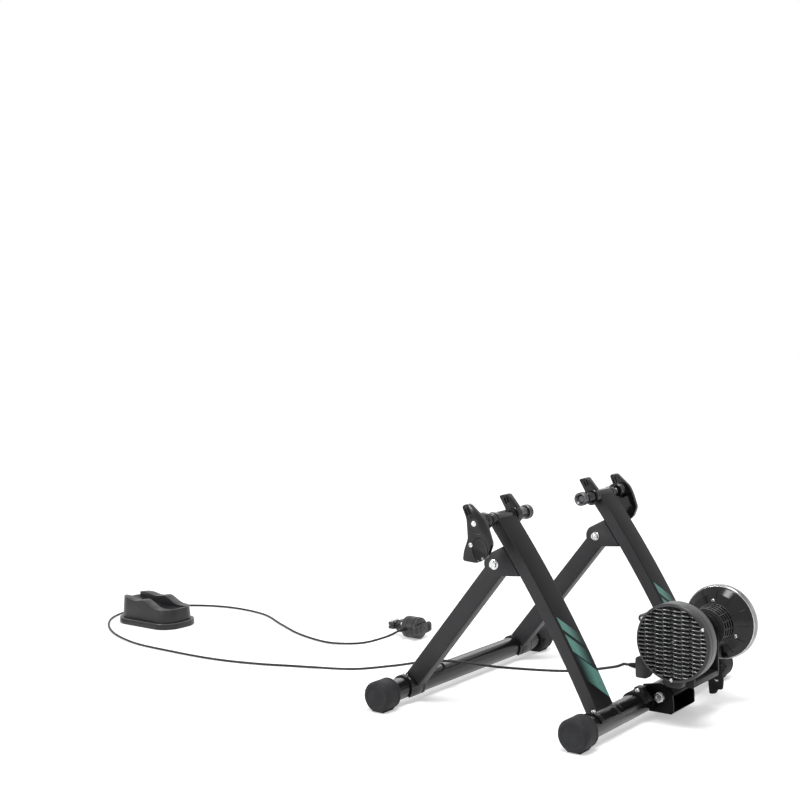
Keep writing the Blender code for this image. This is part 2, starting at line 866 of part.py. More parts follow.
def clamp_spindle(side_name, side):
    """The screw spindle, with the hollow cup that takes the end of the wheel axle."""
    flute = 0.0008
    profile = [
        (0, cup_face_y + cup_recess_depth),
        (cup_recess_radius * 0.6, cup_face_y + cup_recess_depth),
        (cup_recess_radius, cup_face_y),
        (cup_radius - flute, cup_face_y),
        (cup_radius, cup_face_y + cup_length * 0.35),
        (cup_radius - flute * 2, cup_face_y + cup_length * 0.5),
        (cup_radius, cup_face_y + cup_length * 0.65),
        (cup_radius, cup_face_y + cup_length),
        (spindle_radius, cup_face_y + cup_length),
        (spindle_radius, hub_inner_y + spindle_reach),
        (0, hub_inner_y + spindle_reach),
    ]
    spindle = turned("clamp_spindle_" + side_name, profile, along_y(0, 0, axle_height))
    if side < 0:
        mirror_across_wheel(spindle)
    finish(spindle, "clamp_slide_" + side_name, "dark_steel")


def clamp_handle(side_name, side):
    """Hub, slotted finger grip above and paddle below, in one moulding."""
    name = f"clamp_handle_{side_name}_grip"
    low, high = span(side, hub_inner_y, hub_outer_y)
    hub = rod(name, (0, low, axle_height), (0, high, axle_height), hub_radius, round_steps)
    outline = rounded(scaled(paddle_outline, paddle_height, 0, axle_height), paddle_round, 2)
    half = paddle_thickness / 2
    plate_low, plate_high = span(side, hub_outer_y - half, hub_outer_y + half)
    plate = extruded(name + "_paddle", outline, paddle_thickness, in_xz(side * hub_outer_y), paddle_edge)
    screw_low, screw_high = span(side, hub_outer_y, hub_outer_y + half + handle_screw_height)
    screw = rod(name + "_screw", (0, screw_low, axle_height), (0, screw_high, axle_height),
                handle_screw_radius)
    join(hub, plate, screw)
    slots = finger_slots(name, plate_low - past, plate_high + past, paddle_slot_z)
    bore_low, bore_high = span(side, hub_inner_y - past, hub_inner_y + spindle_reach + gap)
    bore = rod(name + "_bore", (0, bore_low, axle_height), (0, bore_high, axle_height),
               spindle_radius + gap, round_steps)
    cut(hub, bore, *slots)
    finish(hub, "clamp_handle_" + side_name, "gloss_black")


def finger_slots(name, low, high, z):
    """Two through slots across a finger grip, the second one nearer the axle."""
    slots = []
    half_length, half_height = finger_slot_length / 2, finger_slot_height / 2
    for step in range(2):
        x = finger_slot_x + finger_slot_shift * step
        up = axle_height + z - finger_slot_drop * step
        slots.append(box(f"{name}_slot_{step}", (x - half_length, low, up - half_height),
                         (x + half_length, high, up + half_height)))
    return slots


def lock_wing(side_name, side):
    """A ring on the clamp tube with a slotted finger that locks the spindle."""
    name = f"lock_wing_{side_name}_finger"
    low, high = span(side, wing_centre_y - wing_width / 2, wing_centre_y + wing_width / 2)
    outline = rounded(scaled(wing_outline, wing_height, 0, axle_height), wing_round, 2)
    wing = extruded(name, outline, wing_width * 0.86, in_xz((low + high) / 2))
    ring = rod(name + "_ring", (0, low, axle_height), (0, high, axle_height), wing_ring_radius,
               round_steps)
    join(wing, ring)
    slots = finger_slots(name, low - past, high + past, wing_slot_z)
    bore = rod(name + "_bore", (0, low - past, axle_height), (0, high + past, axle_height),
               clamp_tube_radius + gap, round_steps)
    cut(wing, bore, *slots)
    finish(wing, "lock_wing_" + side_name, "gloss_black")


for side_name, side in sides.items():
    clamp_tube("clamp_tube_" + side_name, side)
    clamp_spindle(side_name, side)
    clamp_handle(side_name, side)
    lock_wing(side_name, side)


# Resistance unit

unit = Vector((unit_x, unit_height))


def on_unit(radius, angle):
    a = math.radians(angle)
    return unit.x + radius * math.cos(a), unit.y + radius * math.sin(a)


def drum_housing():
    """A shallow drum, open towards the cover, with the bearing boss on its back wall."""
    back = drum_back_y
    mouth = drum_face_y + cover_depth + gap
    inner = drum_radius - drum_wall
    floor = back - drum_back_wall
    boss = bearing_radius + gap + bearing_wall
    boss_face = carrier_y - carrier_thickness / 2 - gap
    shaft = unit_axle_radius + shaft_clearance
    drum = rod("drum_housing", (unit.x, mouth, unit.y), (unit.x, back, unit.y), drum_radius, wide_steps)
    lug_x, lug_z = on_unit(drum_radius + drum_wall * 0.8, drum_lug_angle)
    lug = rod("drum_lug", (lug_x, mouth + cover_depth * 0.7, lug_z), (lug_x, back - drum_wall, lug_z),
              drum_lug_radius)
    outline = scaled(drum_tab_outline, drum_tab_size, boot_x, boot_height)
    tab = extruded("drum_tab", rounded(outline, drum_tab_size * 0.1, 2), drum_tab_thickness,
                   in_xz(back - drum_tab_thickness * 0.56))
    outline = scaled(drum_foot_outline, drum_foot_size, unit.x, unit.y)
    foot = extruded("drum_foot", rounded(outline, drum_foot_size * 0.07, 2), drum_foot_thickness,
                    in_xz(back - drum_foot_thickness * 0.575))
    join(drum, lug, tab, foot)
    chamber = ring_along_y("drum_chamber", inner, boss, mouth - past * 2, floor, unit.x, unit.y, wide_steps)
    front = rod("drum_front", (unit.x, mouth - past, unit.y), (unit.x, boss_face, unit.y),
                boss + drum_wall * 0.8, round_steps)
    seat = rod("drum_seat", (unit.x, mouth, unit.y), (unit.x, back - drum_back_wall / 2, unit.y),
               bearing_radius + gap, round_steps)
    hole = rod("drum_hole", (unit.x, mouth, unit.y), (unit.x, back + past, unit.y), shaft)
    socket = rod("boot_socket", (boot_x - past, boot_y, boot_height),
                 (boot_x + 0.4 * past, boot_y, boot_height), cable_radius + gap, pin_steps)
    cut(drum, chamber, front, seat, hole, socket)
    finish(drum, "swing_unit", "drum_plastic")


def louvre_slots():
    """One mesh of slanted slots, row by row, clipped to the round field."""
    built = bmesh.new()
    rows = int(louvre_radius / louvre_pitch)
    columns = math.ceil(louvre_radius / louvre_bar_pitch)
    for row in range(-rows, rows + 1):
        z = row * louvre_pitch
        edge = abs(z) + (louvre_slot + cover_depth * louvre_slant) / 2
        reach = math.sqrt(max(louvre_radius ** 2 - edge ** 2, 0))
        for column in range(-columns, columns):
            left = max(column * louvre_bar_pitch + louvre_bar_width / 2, -reach)
            right = min((column + 1) * louvre_bar_pitch - louvre_bar_width / 2, reach)
            if right - left < louvre_slot:
                continue
            slot = bmesh.ops.create_cube(built, size=1.0)["verts"]
            for vertex in slot:
                x, y, up = vertex.co
                depth = y * cover_depth * 3
                vertex.co = (unit.x + (left + right) / 2 + x * (right - left),
                             drum_face_y + cover_depth / 2 + depth,
                             unit.y + z + up * louvre_slot + depth * louvre_slant)
    mesh = bpy.data.meshes.new("louvre_slots")
    built.to_mesh(mesh)
    built.free()
    return new_shape("louvre_slots", mesh)


def louvred_cover():
    """The round cover: a rim around slanted louvres, which upright bars divide."""
    field_radius = louvre_radius + louvre_slot * 0.3
    profile = [
        (drum_radius, cover_depth),
        (drum_radius, cover_depth * 0.5),
        (drum_radius - cover_depth * 0.4, cover_depth * 0.15),
        (drum_face_radius, 0),
        (field_radius, cover_depth * 0.3),
        (field_radius, cover_depth),
    ]
    cover = turned("louvred_cover", profile, along_y(unit.x, drum_face_y, unit.y), wide_steps, ring=True)
    field = rod("louvre_field", (unit.x, drum_face_y + cover_depth * 0.2, unit.y),
                (unit.x, drum_face_y + cover_depth * 0.9, unit.y), louvre_radius + louvre_slot, wide_steps)
    cut(field, louvre_slots())
    screws = []
    for number, angle in enumerate(cover_screw_angles):
        x, z = on_unit(drum_radius - cover_screw_inset, angle)
        screws.append(rod(f"cover_screw_{number}", (x, drum_face_y + cover_depth / 2, z),
                          (x, drum_face_y - cover_screw_proud, z), cover_screw_radius, pin_steps))
    join(cover, field, *screws)
    return finish(cover, "swing_unit", "drum_plastic")


def yoke():
    """The cast carrier: two bearing plates, the bridge under the roller and the pivot lug."""
    left = drum_back_y + gap
    right = cage_start - gap - yoke_plate
    bottom = yoke_top - yoke_bridge
    back, front = unit.x - yoke_waist * 0.55, unit.x + yoke_waist * 0.45
    waist = rounded([
        (unit.x - yoke_boss_radius, unit.y),
        (back, bottom),
        (front, bottom),
        (unit.x + yoke_boss_radius, unit.y),
    ], yoke_plate * 0.7, 3)
    plates = []
    for name, y in (("yoke_left_plate", left), ("yoke_right_plate", right)):
        plate = extruded(name, waist, yoke_plate, in_xz(y + yoke_plate / 2))
        boss = rod(name + "_boss", (unit.x, y, unit.y), (unit.x, y + yoke_plate, unit.y),
                   yoke_boss_radius, round_steps)
        plates += [plate, boss]
    inset = yoke_plate * 0.22
    bridge = box("unit_yoke", (back + inset * 2, left + inset, bottom + inset),
                 (front - inset * 2, right + yoke_plate - inset, yoke_top))
    lug = extruded("yoke_lug", rounded([
        (swing_x - swing_bolt_radius * 2.4, swing_height + swing_bolt_radius * 0.8),
        (swing_x - swing_bolt_radius * 1.8, swing_height - swing_bolt_radius * 2),
        (swing_x + swing_bolt_radius * 1.8, swing_height - swing_bolt_radius * 2.4),
        (unit.x + yoke_bridge, bottom + inset * 4),
        (back, yoke_top),
    ], yoke_lug_round, 3), ear_end - ear_start - 2 * (ear_thickness + running_gap),
        in_xz((ear_start + ear_end) / 2))
    ear = rod("yoke_pin_ear", (lever_pin_x, right + yoke_plate / 2, lever_pin_height),
              (lever_pin_x, right + yoke_plate + pin_ear_length, lever_pin_height),
              lever_pin_radius + pin_ear_wall, round_steps)
    join(bridge, *plates, lug, ear)
    shaft = rod("yoke_shaft_cut", (unit.x, left - past, unit.y), (unit.x, right + past * 2, unit.y),
                unit_axle_radius + shaft_clearance)
    pin = rod("yoke_pin_cut", (swing_x, ear_start, swing_height), (swing_x, ear_end, swing_height),
              swing_bolt_radius + turning_gap)
    lever_bore = rod("yoke_lever_bore", (lever_pin_x, right - past, lever_pin_height),
                     (lever_pin_x, right + past * 2, lever_pin_height), lever_pin_radius + gap, pin_steps)
    cut(bridge, shaft, pin, lever_bore)
    return finish(bridge, "swing_unit", "frame_black")


def bearing(name, start):
    race = ring_along_y(name, bearing_radius, unit_axle_radius + gap, start, start + bearing_width,
                        unit.x, unit.y)
    finish(race, "swing_unit", "bright_steel")


def cage():
    """The windowed guard: a flared shell grid given its wall, on a bearing plate."""
    rows = cage_rows * 2 + 1
    length = cage_end - cage_start
    rib = length / (cage_rows * 4 + 1)
    levels = [0.0]
    for row in range(rows):
        levels.append(levels[-1] + (rib if row % 2 == 0 else rib * 3))
    mesh = bpy.data.meshes.new("cage_grid")
    vertices = []
    for level in levels:
        radius = cage_radius + (cage_flare - cage_radius) * level / length
        for number in range(cage_ribs):
            for share in (0, cage_rib_share):
                turn = math.tau * (number + share) / cage_ribs
                vertices.append((radius * math.cos(turn), radius * math.sin(turn), level))
    faces = []
    divisions = cage_ribs * 2
    for row in range(rows):
        for column in range(divisions):
            if row % 2 and column % 2:
                continue
            ahead = (column + 1) % divisions
            low, high = row * divisions, (row + 1) * divisions
            faces.append((low + column, low + ahead, high + ahead, high + column))
    mesh.from_pydata(vertices, [], faces)
    grid = bpy.data.objects.new("cage_grid", mesh)
    parts.objects.link(grid)
    wall = grid.modifiers.new("Wall", "SOLIDIFY")
    wall.thickness = cage_wall
    wall.offset = -1
    wall.use_even_offset = True
    shell = evaluated_mesh(grid, "slotted_cage", along_y(unit.x, cage_start, unit.y))
    boss = bearing_radius + gap + bearing_wall
    boss_top = cage_seat + bearing_width + gap
    floor = [
        (cage_radius - cage_wall / 2, cage_floor),
        (cage_radius - cage_wall / 2, 0),
        (unit_axle_radius + shaft_clearance, 0),
        (unit_axle_radius + shaft_clearance, cage_seat),
        (bearing_radius + gap, cage_seat),
        (bearing_radius + gap, boss_top),
        (boss, boss_top),
        (boss, cage_floor),
    ]
    plate = turned("cage_plate", floor, along_y(unit.x, cage_start, unit.y), ring=True)
    join(shell, plate)
    return finish(shell, "swing_unit", "drum_plastic")


def rotor():
    """Everything on the unit's axle: disc, roller, ribbed dish and flywheel."""
    axle = rod("unit_axle", (unit.x, unit_axle_start, unit.y), (unit.x, unit_axle_end, unit.y),
               unit_axle_radius)
    nut = extruded("axle_nut", hexagon(unit.x, unit.y, axle_nut_radius), axle_nut_height,
                   in_xz(flywheel_end + gap + axle_nut_height / 2))
    finish(join(axle, nut), "rotor", "zinc")
    bore = unit_axle_radius + gap
    groove = roller_groove
    length = roller_end - roller_start
    far, near = length - roller_groove_inset, roller_groove_inset
    profile = [
        (roller_radius - groove, length),
        (roller_radius, length - groove),
        (roller_radius, far + groove),
        (roller_radius - groove, far),
        (roller_radius, far - groove),
        (roller_radius, near + groove),
        (roller_radius - groove, near),
        (roller_radius, near - groove),
        (roller_radius, groove),
        (roller_radius - groove, 0),
        (bore, 0),
        (bore, length),
    ]
    roller = turned("roller", profile, along_y(unit.x, roller_start, unit.y), ring=True)
    finish(roller, "rotor", "roller_metal")
    half = disc_thickness / 2
    disc = ring_along_y("brake_disc", disc_radius, bore, disc_y - half, disc_y + half,
                        unit.x, unit.y)
    for number in range(disc_vents):
        x, z = on_unit(disc_vent_circle, 360 / disc_vents * number)
        cut(disc, rod(f"disc_vent_{number}", (x, disc_y - past, z), (x, disc_y + past, z), disc_vent_radius,
                      pin_steps))
    finish(disc, "rotor", "aluminium")


def ribbed_dish():
    """The flared dish in front of the flywheel, with ribs that run out to its rim."""
    depth = flywheel_start - gap - dish_start
    bore = unit_axle_radius + gap
    waist = dish_inner_radius + (dish_outer_radius - dish_inner_radius) * dish_waist_share
    floor = depth * dish_floor_share
    profile = [
        (dish_outer_radius + dish_wall * 0.7, depth),
        (dish_outer_radius, depth - dish_wall * 1.4),
        (waist, depth * dish_waist_depth),
        (dish_inner_radius, 0),
        (bore + dish_wall * 3.5, 0),
        (bore, dish_wall / 2),
        (bore, floor),
        (dish_inner_radius - dish_wall, floor),
        (dish_outer_radius - dish_wall * 2, depth),
    ]
    dish = turned("ribbed_dish", profile, along_y(unit.x, dish_start, unit.y), wide_steps, ring=True)
    ribs = []
    inner, outer = dish_inner_radius + dish_wall / 2, dish_outer_radius - dish_wall / 2
    crest = depth - dish_wall * 2.7
    for number in range(dish_ribs):
        outline = [(inner, dish_rib_height * 0.9), (outer, crest), (outer, crest - dish_rib_height),
                   (waist - dish_wall, dish_rib_height * 0.8)]
        rib = extruded(f"dish_rib_{number}", outline, dish_rib_width, in_xz(0))
        rib.data.transform(Matrix.Rotation(math.tau * number / dish_ribs, 4, "Z"))
        rib.data.transform(along_y(unit.x, dish_start, unit.y))
        ribs.append(rib)
    join(dish, *ribs)
    return finish(dish, "rotor", "gloss_black")


def flywheel():
    """A heavy turned wheel with a beaded rim, hollowed on its outer face."""
    width = flywheel_end - flywheel_start
    bore = unit_axle_radius + gap
    profile = [
        (flywheel_recess_radius, width - flywheel_recess),
        (flywheel_recess_radius + flywheel_draft, width),
        (flywheel_radius - flywheel_bead, width),
        (flywheel_radius, width - flywheel_bead),
        (flywheel_radius, flywheel_bead),
        (flywheel_radius - flywheel_bead, 0),
        (bore, 0),
        (bore, width),
        (flywheel_hub_radius, width),
        (flywheel_hub_radius + flywheel_draft, width - flywheel_recess),
    ]
    wheel = turned("flywheel", profile, along_y(unit.x, flywheel_start, unit.y), wide_steps, ring=True)
    return finish(wheel, "rotor", "bright_steel")


def magnet_carrier():
    """A half plate with its magnets; the cable turns it across the disc."""
    boss = bearing_radius + gap + bearing_wall + gap
    half = carrier_half_angle
    outline = arc(unit.x, unit.y, carrier_radius, -half, half, 13)
    outline += arc(unit.x, unit.y, boss + carrier_rim, half + 10, 350 - half, 8)
    bore = circle(unit.x, unit.y, boss)[::-1]
    plate = extruded("magnet_carrier_plate", outline, carrier_thickness, in_xz(carrier_y), holes=[bore])
    face = carrier_y - carrier_thickness / 2
    for number, angle in enumerate(magnet_angles):
        x, z = on_unit(magnet_circle, angle)
        join(plate, rod(f"magnet_{number}", (x, face - magnet_proud, z), (x, carrier_y, z),
                        magnet_radius, pin_steps))
    finish(plate, "magnet_carrier", "dark_steel")


def unit_bracket():
    """The welded channel behind the rear tube; its ears carry the unit's pivot bolt."""
    drop = ear_round * 0.24
    outline = [
        (rear_tube_x, ear_bottom),
        (ear_reach, ear_bottom),
        (ear_reach, swing_height - drop),
        *arc(swing_x, swing_height, ear_round, -5, 100, 7),
        (rear_tube_x, swing_height + ear_round - drop),
    ]
    bracket = extruded("unit_bracket", outline, ear_end - ear_start, in_xz((ear_start + ear_end) / 2))
    channel = box("bracket_channel",
                  (rear_tube_x - past, ear_start + ear_thickness, ear_bottom + ear_thickness),
                  (ear_reach + past * 2, ear_end - ear_thickness, swing_height + ear_round + past * 2))
    tube = rod("bracket_tube_cut", (rear_tube_x, ear_start - past, tube_height),
               (rear_tube_x, ear_end + past, tube_height), tube_radius + gap, round_steps)
    pin = rod("bracket_pin_cut", (swing_x, ear_start - past, swing_height),
              (swing_x, ear_end + past, swing_height), swing_bolt_radius + gap)
    cut(bracket, channel, tube, pin)
    finish(bracket, "rear_frame", "frame_black")


def swing_bolt():
    outer = ear_start - gap
    half_head = swing_head_height / 2
    inner = ear_end + gap
    hexagonal = hexagon(swing_x, swing_height, swing_hex_radius)
    bolt = rod("swing_bolt", (swing_x, outer - half_head, swing_height),
               (swing_x, inner + swing_nut_height, swing_height), swing_bolt_radius)
    head = extruded("swing_bolt_head", hexagonal, swing_head_height, in_xz(outer - half_head))
    finish(join(bolt, head), "rear_frame", "zinc")
    nut = extruded("swing_nut", hexagonal, swing_nut_height, in_xz(inner + swing_nut_height / 2))
    cut(nut, rod("swing_nut_thread", (swing_x, ear_end, swing_height),
                 (swing_x, ear_end + past * 2, swing_height), swing_bolt_radius + gap))
    finish(nut, "rear_frame", "zinc")


def tube_collar():
    """A half collar on the rear tube beside the bracket, with its socket screw."""
    inner = tube_radius + gap
    outline = arc(rear_tube_x, tube_height, inner + collar_wall, 10, 150, 8)
    outline += arc(rear_tube_x, tube_height, inner, 150, 10, 8)
    middle = (collar_start + collar_end) / 2
    collar = extruded("tube_collar", outline, collar_end - collar_start, in_xz(middle))
    top = tube_height + inner
    block_x = rear_tube_x + collar_screw_radius * 1.4
    half = collar_block_length / 2
    block = box("collar_block", (block_x - half, collar_start + collar_wall * 1.5, top),
                (block_x + half, collar_end - collar_wall, top + collar_block_height))
    screw_height = top + collar_screw_radius * 1.4
    screw = rod("collar_screw", (block_x, collar_start + collar_wall * 0.75, screw_height),
                (block_x, middle, screw_height), collar_screw_radius, pin_steps)
    join(collar, block, screw)
    finish(collar, "rear_frame", "frame_black")


def tension_lever():
    """A lobed cam plate on its pin; turning it lets the unit swing away from the tyre."""
    outline = rounded(scaled(lever_outline, lever_length, lever_pin_x, lever_pin_height), lever_round, 2)
    slot_height = lever_pin_height - lever_slot_drop
    hole = circle(lever_pin_x - lever_slot_radius / 2, slot_height, lever_slot_radius, small_steps)
    hole = [(x, z + math.copysign(lever_slot_stretch, z - slot_height)) for x, z in hole]
    plate = extruded("tension_lever_plate", outline, lever_plate, in_xz(lever_plate_y), holes=[hole[::-1]])
    lobe_x = lever_pin_x + lobe_radius / 2
    lobe = rod("tension_lobe", (lobe_x, lever_plate_y, lever_pin_height),
               (lobe_x, lever_plate_y + lobe_height, lever_pin_height), lobe_radius)
    join(plate, lobe)
    cut(plate, rod("tension_bore", (lever_pin_x, lever_plate_y - past, lever_pin_height),
                   (lever_pin_x, lever_plate_y + past * 2, lever_pin_height),
                   lever_pin_radius + turning_gap, small_steps))
    finish(plate, "tension_lever", "cap_rubber")
    pin = rod("tension_pin", (lever_pin_x, cage_start - gap - yoke_plate, lever_pin_height),
              (lever_pin_x, lever_plate_y + lever_plate / 2 + lever_pin_overhang, lever_pin_height),
              lever_pin_radius, pin_steps)
    finish(pin, "swing_unit", "zinc")


drum_housing()
louvred_cover()
yoke()
bearing("left_bearing", drum_back_y - drum_back_wall / 2 - gap - bearing_width)
bearing("right_bearing", cage_start + cage_seat + gap)
cage()
rotor()
ribbed_dish()
flywheel()
magnet_carrier()
unit_bracket()
swing_bolt()
tube_collar()
tension_lever()


# Remote on the floor

remote_height = remote_radius + gap


def remote_frame(offset=0.0):
    """Local Z runs along +X from the remote's drum, local X stays level."""
    turn = Matrix(((0, 0, 1, 0), (1, 0, 0, 0), (0, 1, 0, 0), (0, 0, 0, 1)))
    return Matrix.Translation((remote_x + offset, remote_y, remote_height)) @ turn


def remote():
    """The drum with its bar clamp and the lug that closes the clamp."""
    length, edge = remote_length, remote_edge
    profile = [
        (0, length),
        (remote_radius - edge, length),
        (remote_radius, length - edge),
        (remote_radius, edge),
        (remote_radius - edge, 0),
        (0, 0),
    ]
    drum = turned("remote_housing", profile, remote_frame())
    half_width, half_neck = remote_band_width / 2, remote_neck_height / 2
    reach = remote_neck_reach
    neck = box("remote_neck", (remote_x - reach, remote_y - half_width, remote_height - half_neck),
               (remote_x + reach, remote_y + half_width, remote_height + half_neck))
    join(drum, neck)
    bar_x = remote_x - remote_bar_radius - remote_band_wall
    wide = remote_lug_width
    cut(drum, rod("remote_bar_clearance", (bar_x, remote_y - wide, remote_height),
                  (bar_x, remote_y + wide, remote_height),
                  remote_bar_radius + remote_band_wall + gap, round_steps))
    finish(drum, "rear_frame", "drum_plastic")
    band = ring_along_y("remote_band", remote_bar_radius + remote_band_wall, remote_bar_radius,
                        remote_y - half_width, remote_y + half_width, bar_x, remote_height)
    half_lug, half_thick = remote_lug_width / 2, remote_lug_thickness / 2
    lug_start = bar_x - remote_bar_radius - remote_lug_length
    lug = box("remote_lug", (lug_start, remote_y - half_lug, remote_height - half_thick),
              (bar_x - remote_bar_radius - remote_band_wall * 0.3, remote_y + half_lug,
               remote_height + half_thick))
    slit = box("remote_slit", (lug_start - past, remote_y - wide, remote_height - remote_slit / 2),
               (bar_x - remote_bar_radius + remote_edge, remote_y + wide, remote_height + remote_slit / 2))
    join(band, lug)
    cut(band, slit)
    x = lug_start + remote_lug_length * 0.45
    seat = remote_height + half_thick + gap
    for number, side in enumerate((-1, 1)):
        y = remote_y + side * clamp_screw_spacing / 2
        cut(band, rod(f"remote_hole_{number}", (x, y, remote_height - wide), (x, y, remote_height + wide),
                      clamp_screw_radius + gap, pin_steps))
        screw = rod(f"remote_clamp_screw_{number + 1}", (x, y, remote_height - half_thick + gap),
                    (x, y, seat + clamp_screw_head_height * 0.8), clamp_screw_radius, pin_steps)
        head = rod(f"remote_screw_head_{number}", (x, y, seat), (x, y, seat + clamp_screw_head_height),
                   clamp_screw_head_radius, pin_steps)
        finish(join(screw, head), "rear_frame", "zinc")
    finish(band, "rear_frame", "drum_plastic")


def remote_lever():
    """The flat lever plate on the drum's end, waisted between its two wide ends."""
    half, wide = remote_plate_length / 2, remote_plate_width / 2
    outline = rounded([(u * half, v * wide) for u, v in remote_plate_outline], remote_plate_round, 2)
    offset = remote_length + gap + remote_plate / 2
    plate = extruded("remote_lever_plate", outline, remote_plate, remote_frame(offset), remote_plate / 5)
    end = remote_x + remote_length + gap + remote_plate
    boss = rod("remote_lever_boss", (end - remote_plate / 2, remote_y, remote_height),
               (end + remote_plate * 0.3, remote_y, remote_height), remote_boss_radius)
    finish(join(plate, boss), "remote_lever", "drum_plastic")


def cable_boot(name, start, end, radius, body):
    """A tapered strain relief with the bore of the inner wire."""
    length = (end - start).length
    bore = cable_radius * 0.5
    profile = [
        (radius * 0.62, length),
        (radius, length / 8),
        (radius, 0),
        (bore, 0),
        (bore, length),
    ]
    spin = Vector((0, 0, 1)).rotation_difference(end - start)
    boot = turned(name, profile, Matrix.Translation(start) @ spin.to_matrix().to_4x4(), pin_steps, ring=True)
    return finish(boot, body, "cap_rubber")


def smooth_route(route, count):
    """Evenly spread points on a curve through the route's points."""
    knots = [Vector(point) for point in route]
    knots = [knots[0] * 2 - knots[1]] + knots + [knots[-1] * 2 - knots[-2]]
    fine = []
    pieces = 24
    for a, b, c, d in zip(knots, knots[1:], knots[2:], knots[3:]):
        for step in range(pieces):
            t = step / pieces
            fine.append(0.5 * (2 * b + (c - a) * t + (2 * a - 5 * b + 4 * c - d) * t ** 2
                               + (3 * b - a - 3 * c + d) * t ** 3))
    fine.append(knots[-2])
    travelled = [0.0]
    for before, after in zip(fine, fine[1:]):
        travelled.append(travelled[-1] + (after - before).length)
    chosen, place = [], 0
    for i in range(count):
        target = travelled[-1] * i / (count - 1)
        while place < len(fine) - 2 and travelled[place + 1] < target:
            place += 1
        share = (target - travelled[place]) / (travelled[place + 1] - travelled[place])
        chosen.append(fine[place].lerp(fine[place + 1], share))
    return chosen, travelled[-1]


def cable(start, start_lead, end, end_lead):
    """The tube along the route; each end runs straight out of its boot."""
    curve = bpy.data.curves.new("resistance_cable", "CURVE")
    curve.dimensions = "3D"
    curve.bevel_depth = cable_radius
    curve.bevel_resolution = 2
    curve.use_fill_caps = True
    middle = [(x, y, height + cable_radius) for x, y, height in cable_route]
    points, length = smooth_route([start + start_lead, *middle, end + end_lead], cable_points - 2)
    points = [start, *points, end]
    length += start_lead.length + end_lead.length
    spline = curve.splines.new("POLY")
    spline.points.add(len(points) - 1)
    for place, point in zip(spline.points, points):
        place.co = (point.x, point.y, max(point.z, cable_radius + gap), 1)
    wire = bpy.data.objects.new("resistance_cable", curve)
    parts.objects.link(wire)
    print(f"cable length {length:.3f} m")
    return finish(wire, "rear_frame", "cable_jacket")


remote()
remote_lever()
tab_face = boot_x + drum_tab_outline[0][0] * drum_tab_size
boot_base = Vector((tab_face - gap, boot_y, boot_height))
boot_tip = boot_base - Vector((boot_length, 0, 0))
cable_boot("outlet_boot", boot_base, boot_tip, boot_radius, "swing_unit")
gland_base = Vector((remote_x + remote_length / 3, remote_y - remote_radius - gap, remote_height))
gland_tip = gland_base - Vector((0, boot_length, 0))
cable_boot("remote_gland", gland_base, gland_tip, boot_radius * 0.8, "rear_frame")
lead = cable_radius * 4
cable(boot_tip - Vector((gap, 0, 0)), Vector((-lead, 0, 0)),
      gland_tip - Vector((0, gap, 0)), Vector((0, -lead, 0)))


# Front wheel riser

def riser_footprint(inset):
    half_length, half_width = riser_length / 2 - inset, riser_width / 2 - inset
    corners = [(-half_length, -half_width), (half_length, -half_width),
               (half_length, half_width), (-half_length, half_width)]
    return rounded([(riser_x + x, y) for x, y in corners], riser_corner - inset, 5)


def riser_pockets():
    """The hollow underside: four pockets that leave a cross of ribs."""
    far_x = riser_length / 2 - riser_ledge - riser_wall * 1.5
    far_y = riser_width / 2 - riser_ledge - riser_wall * 1.5
    near, chamfer = riser_rib / 2, riser_pocket_corner
    outline = [(near, near), (far_x, near), (far_x, far_y - chamfer), (far_x - chamfer, far_y), (near, far_y)]
    pockets = []
    for number, (u, v) in enumerate(((1, 1), (-1, 1), (-1, -1), (1, -1))):
        ring = [(riser_x + x * u, y * v) for x, y in outline]
        pockets.append(extruded(f"riser_pocket_{number}", ring[::u * v], riser_pocket_depth * 2, in_xy(0)))
    return pockets


def riser():
    """A moulded shell on a wider plinth: an S-shaped top and a groove that the tyre settles in."""
    half_length = riser_length / 2
    plinth = extruded("riser_block", riser_footprint(0), riser_plinth, in_xy(riser_plinth / 2), riser_edge)
    tall = riser_high * 1.3
    block = extruded("riser_body", riser_footprint(riser_ledge), tall, in_xy(tall / 2))
    for vertex in block.data.vertices:
        share = max(vertex.co.z - riser_plinth, 0) / riser_high
        vertex.co.x = riser_x + (vertex.co.x - riser_x) * (1 - riser_taper_length * share)
        vertex.co.y = vertex.co.y * (1 - riser_taper_width * share)
    top = []
    for share, drop, rise in riser_top_line:
        height = riser_low + rise if drop is None else riser_high - drop
        top.append((riser_x + share * half_length, height, 0))
    above = [(point.x, point.y) for point in smooth_route(top, 17)[0]]
    above += [(above[-1][0], riser_high * 2), (above[0][0], riser_high * 2)]
    trim = extruded("riser_trim", above, riser_width * 1.5, in_xz(0))
    wheel = rod("riser_groove", (front_wheel_x, -groove_width / 2, groove_floor + front_wheel_radius),
                (front_wheel_x, groove_width / 2, groove_floor + front_wheel_radius),
                front_wheel_radius, groove_steps)
    cut(block, trim)
    join(plinth, block)
    cut(plinth, wheel, *riser_pockets())
    finish(plinth, "rear_frame", "riser_plastic")


riser()
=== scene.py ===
import math

import bpy
from mathutils import Matrix, Vector


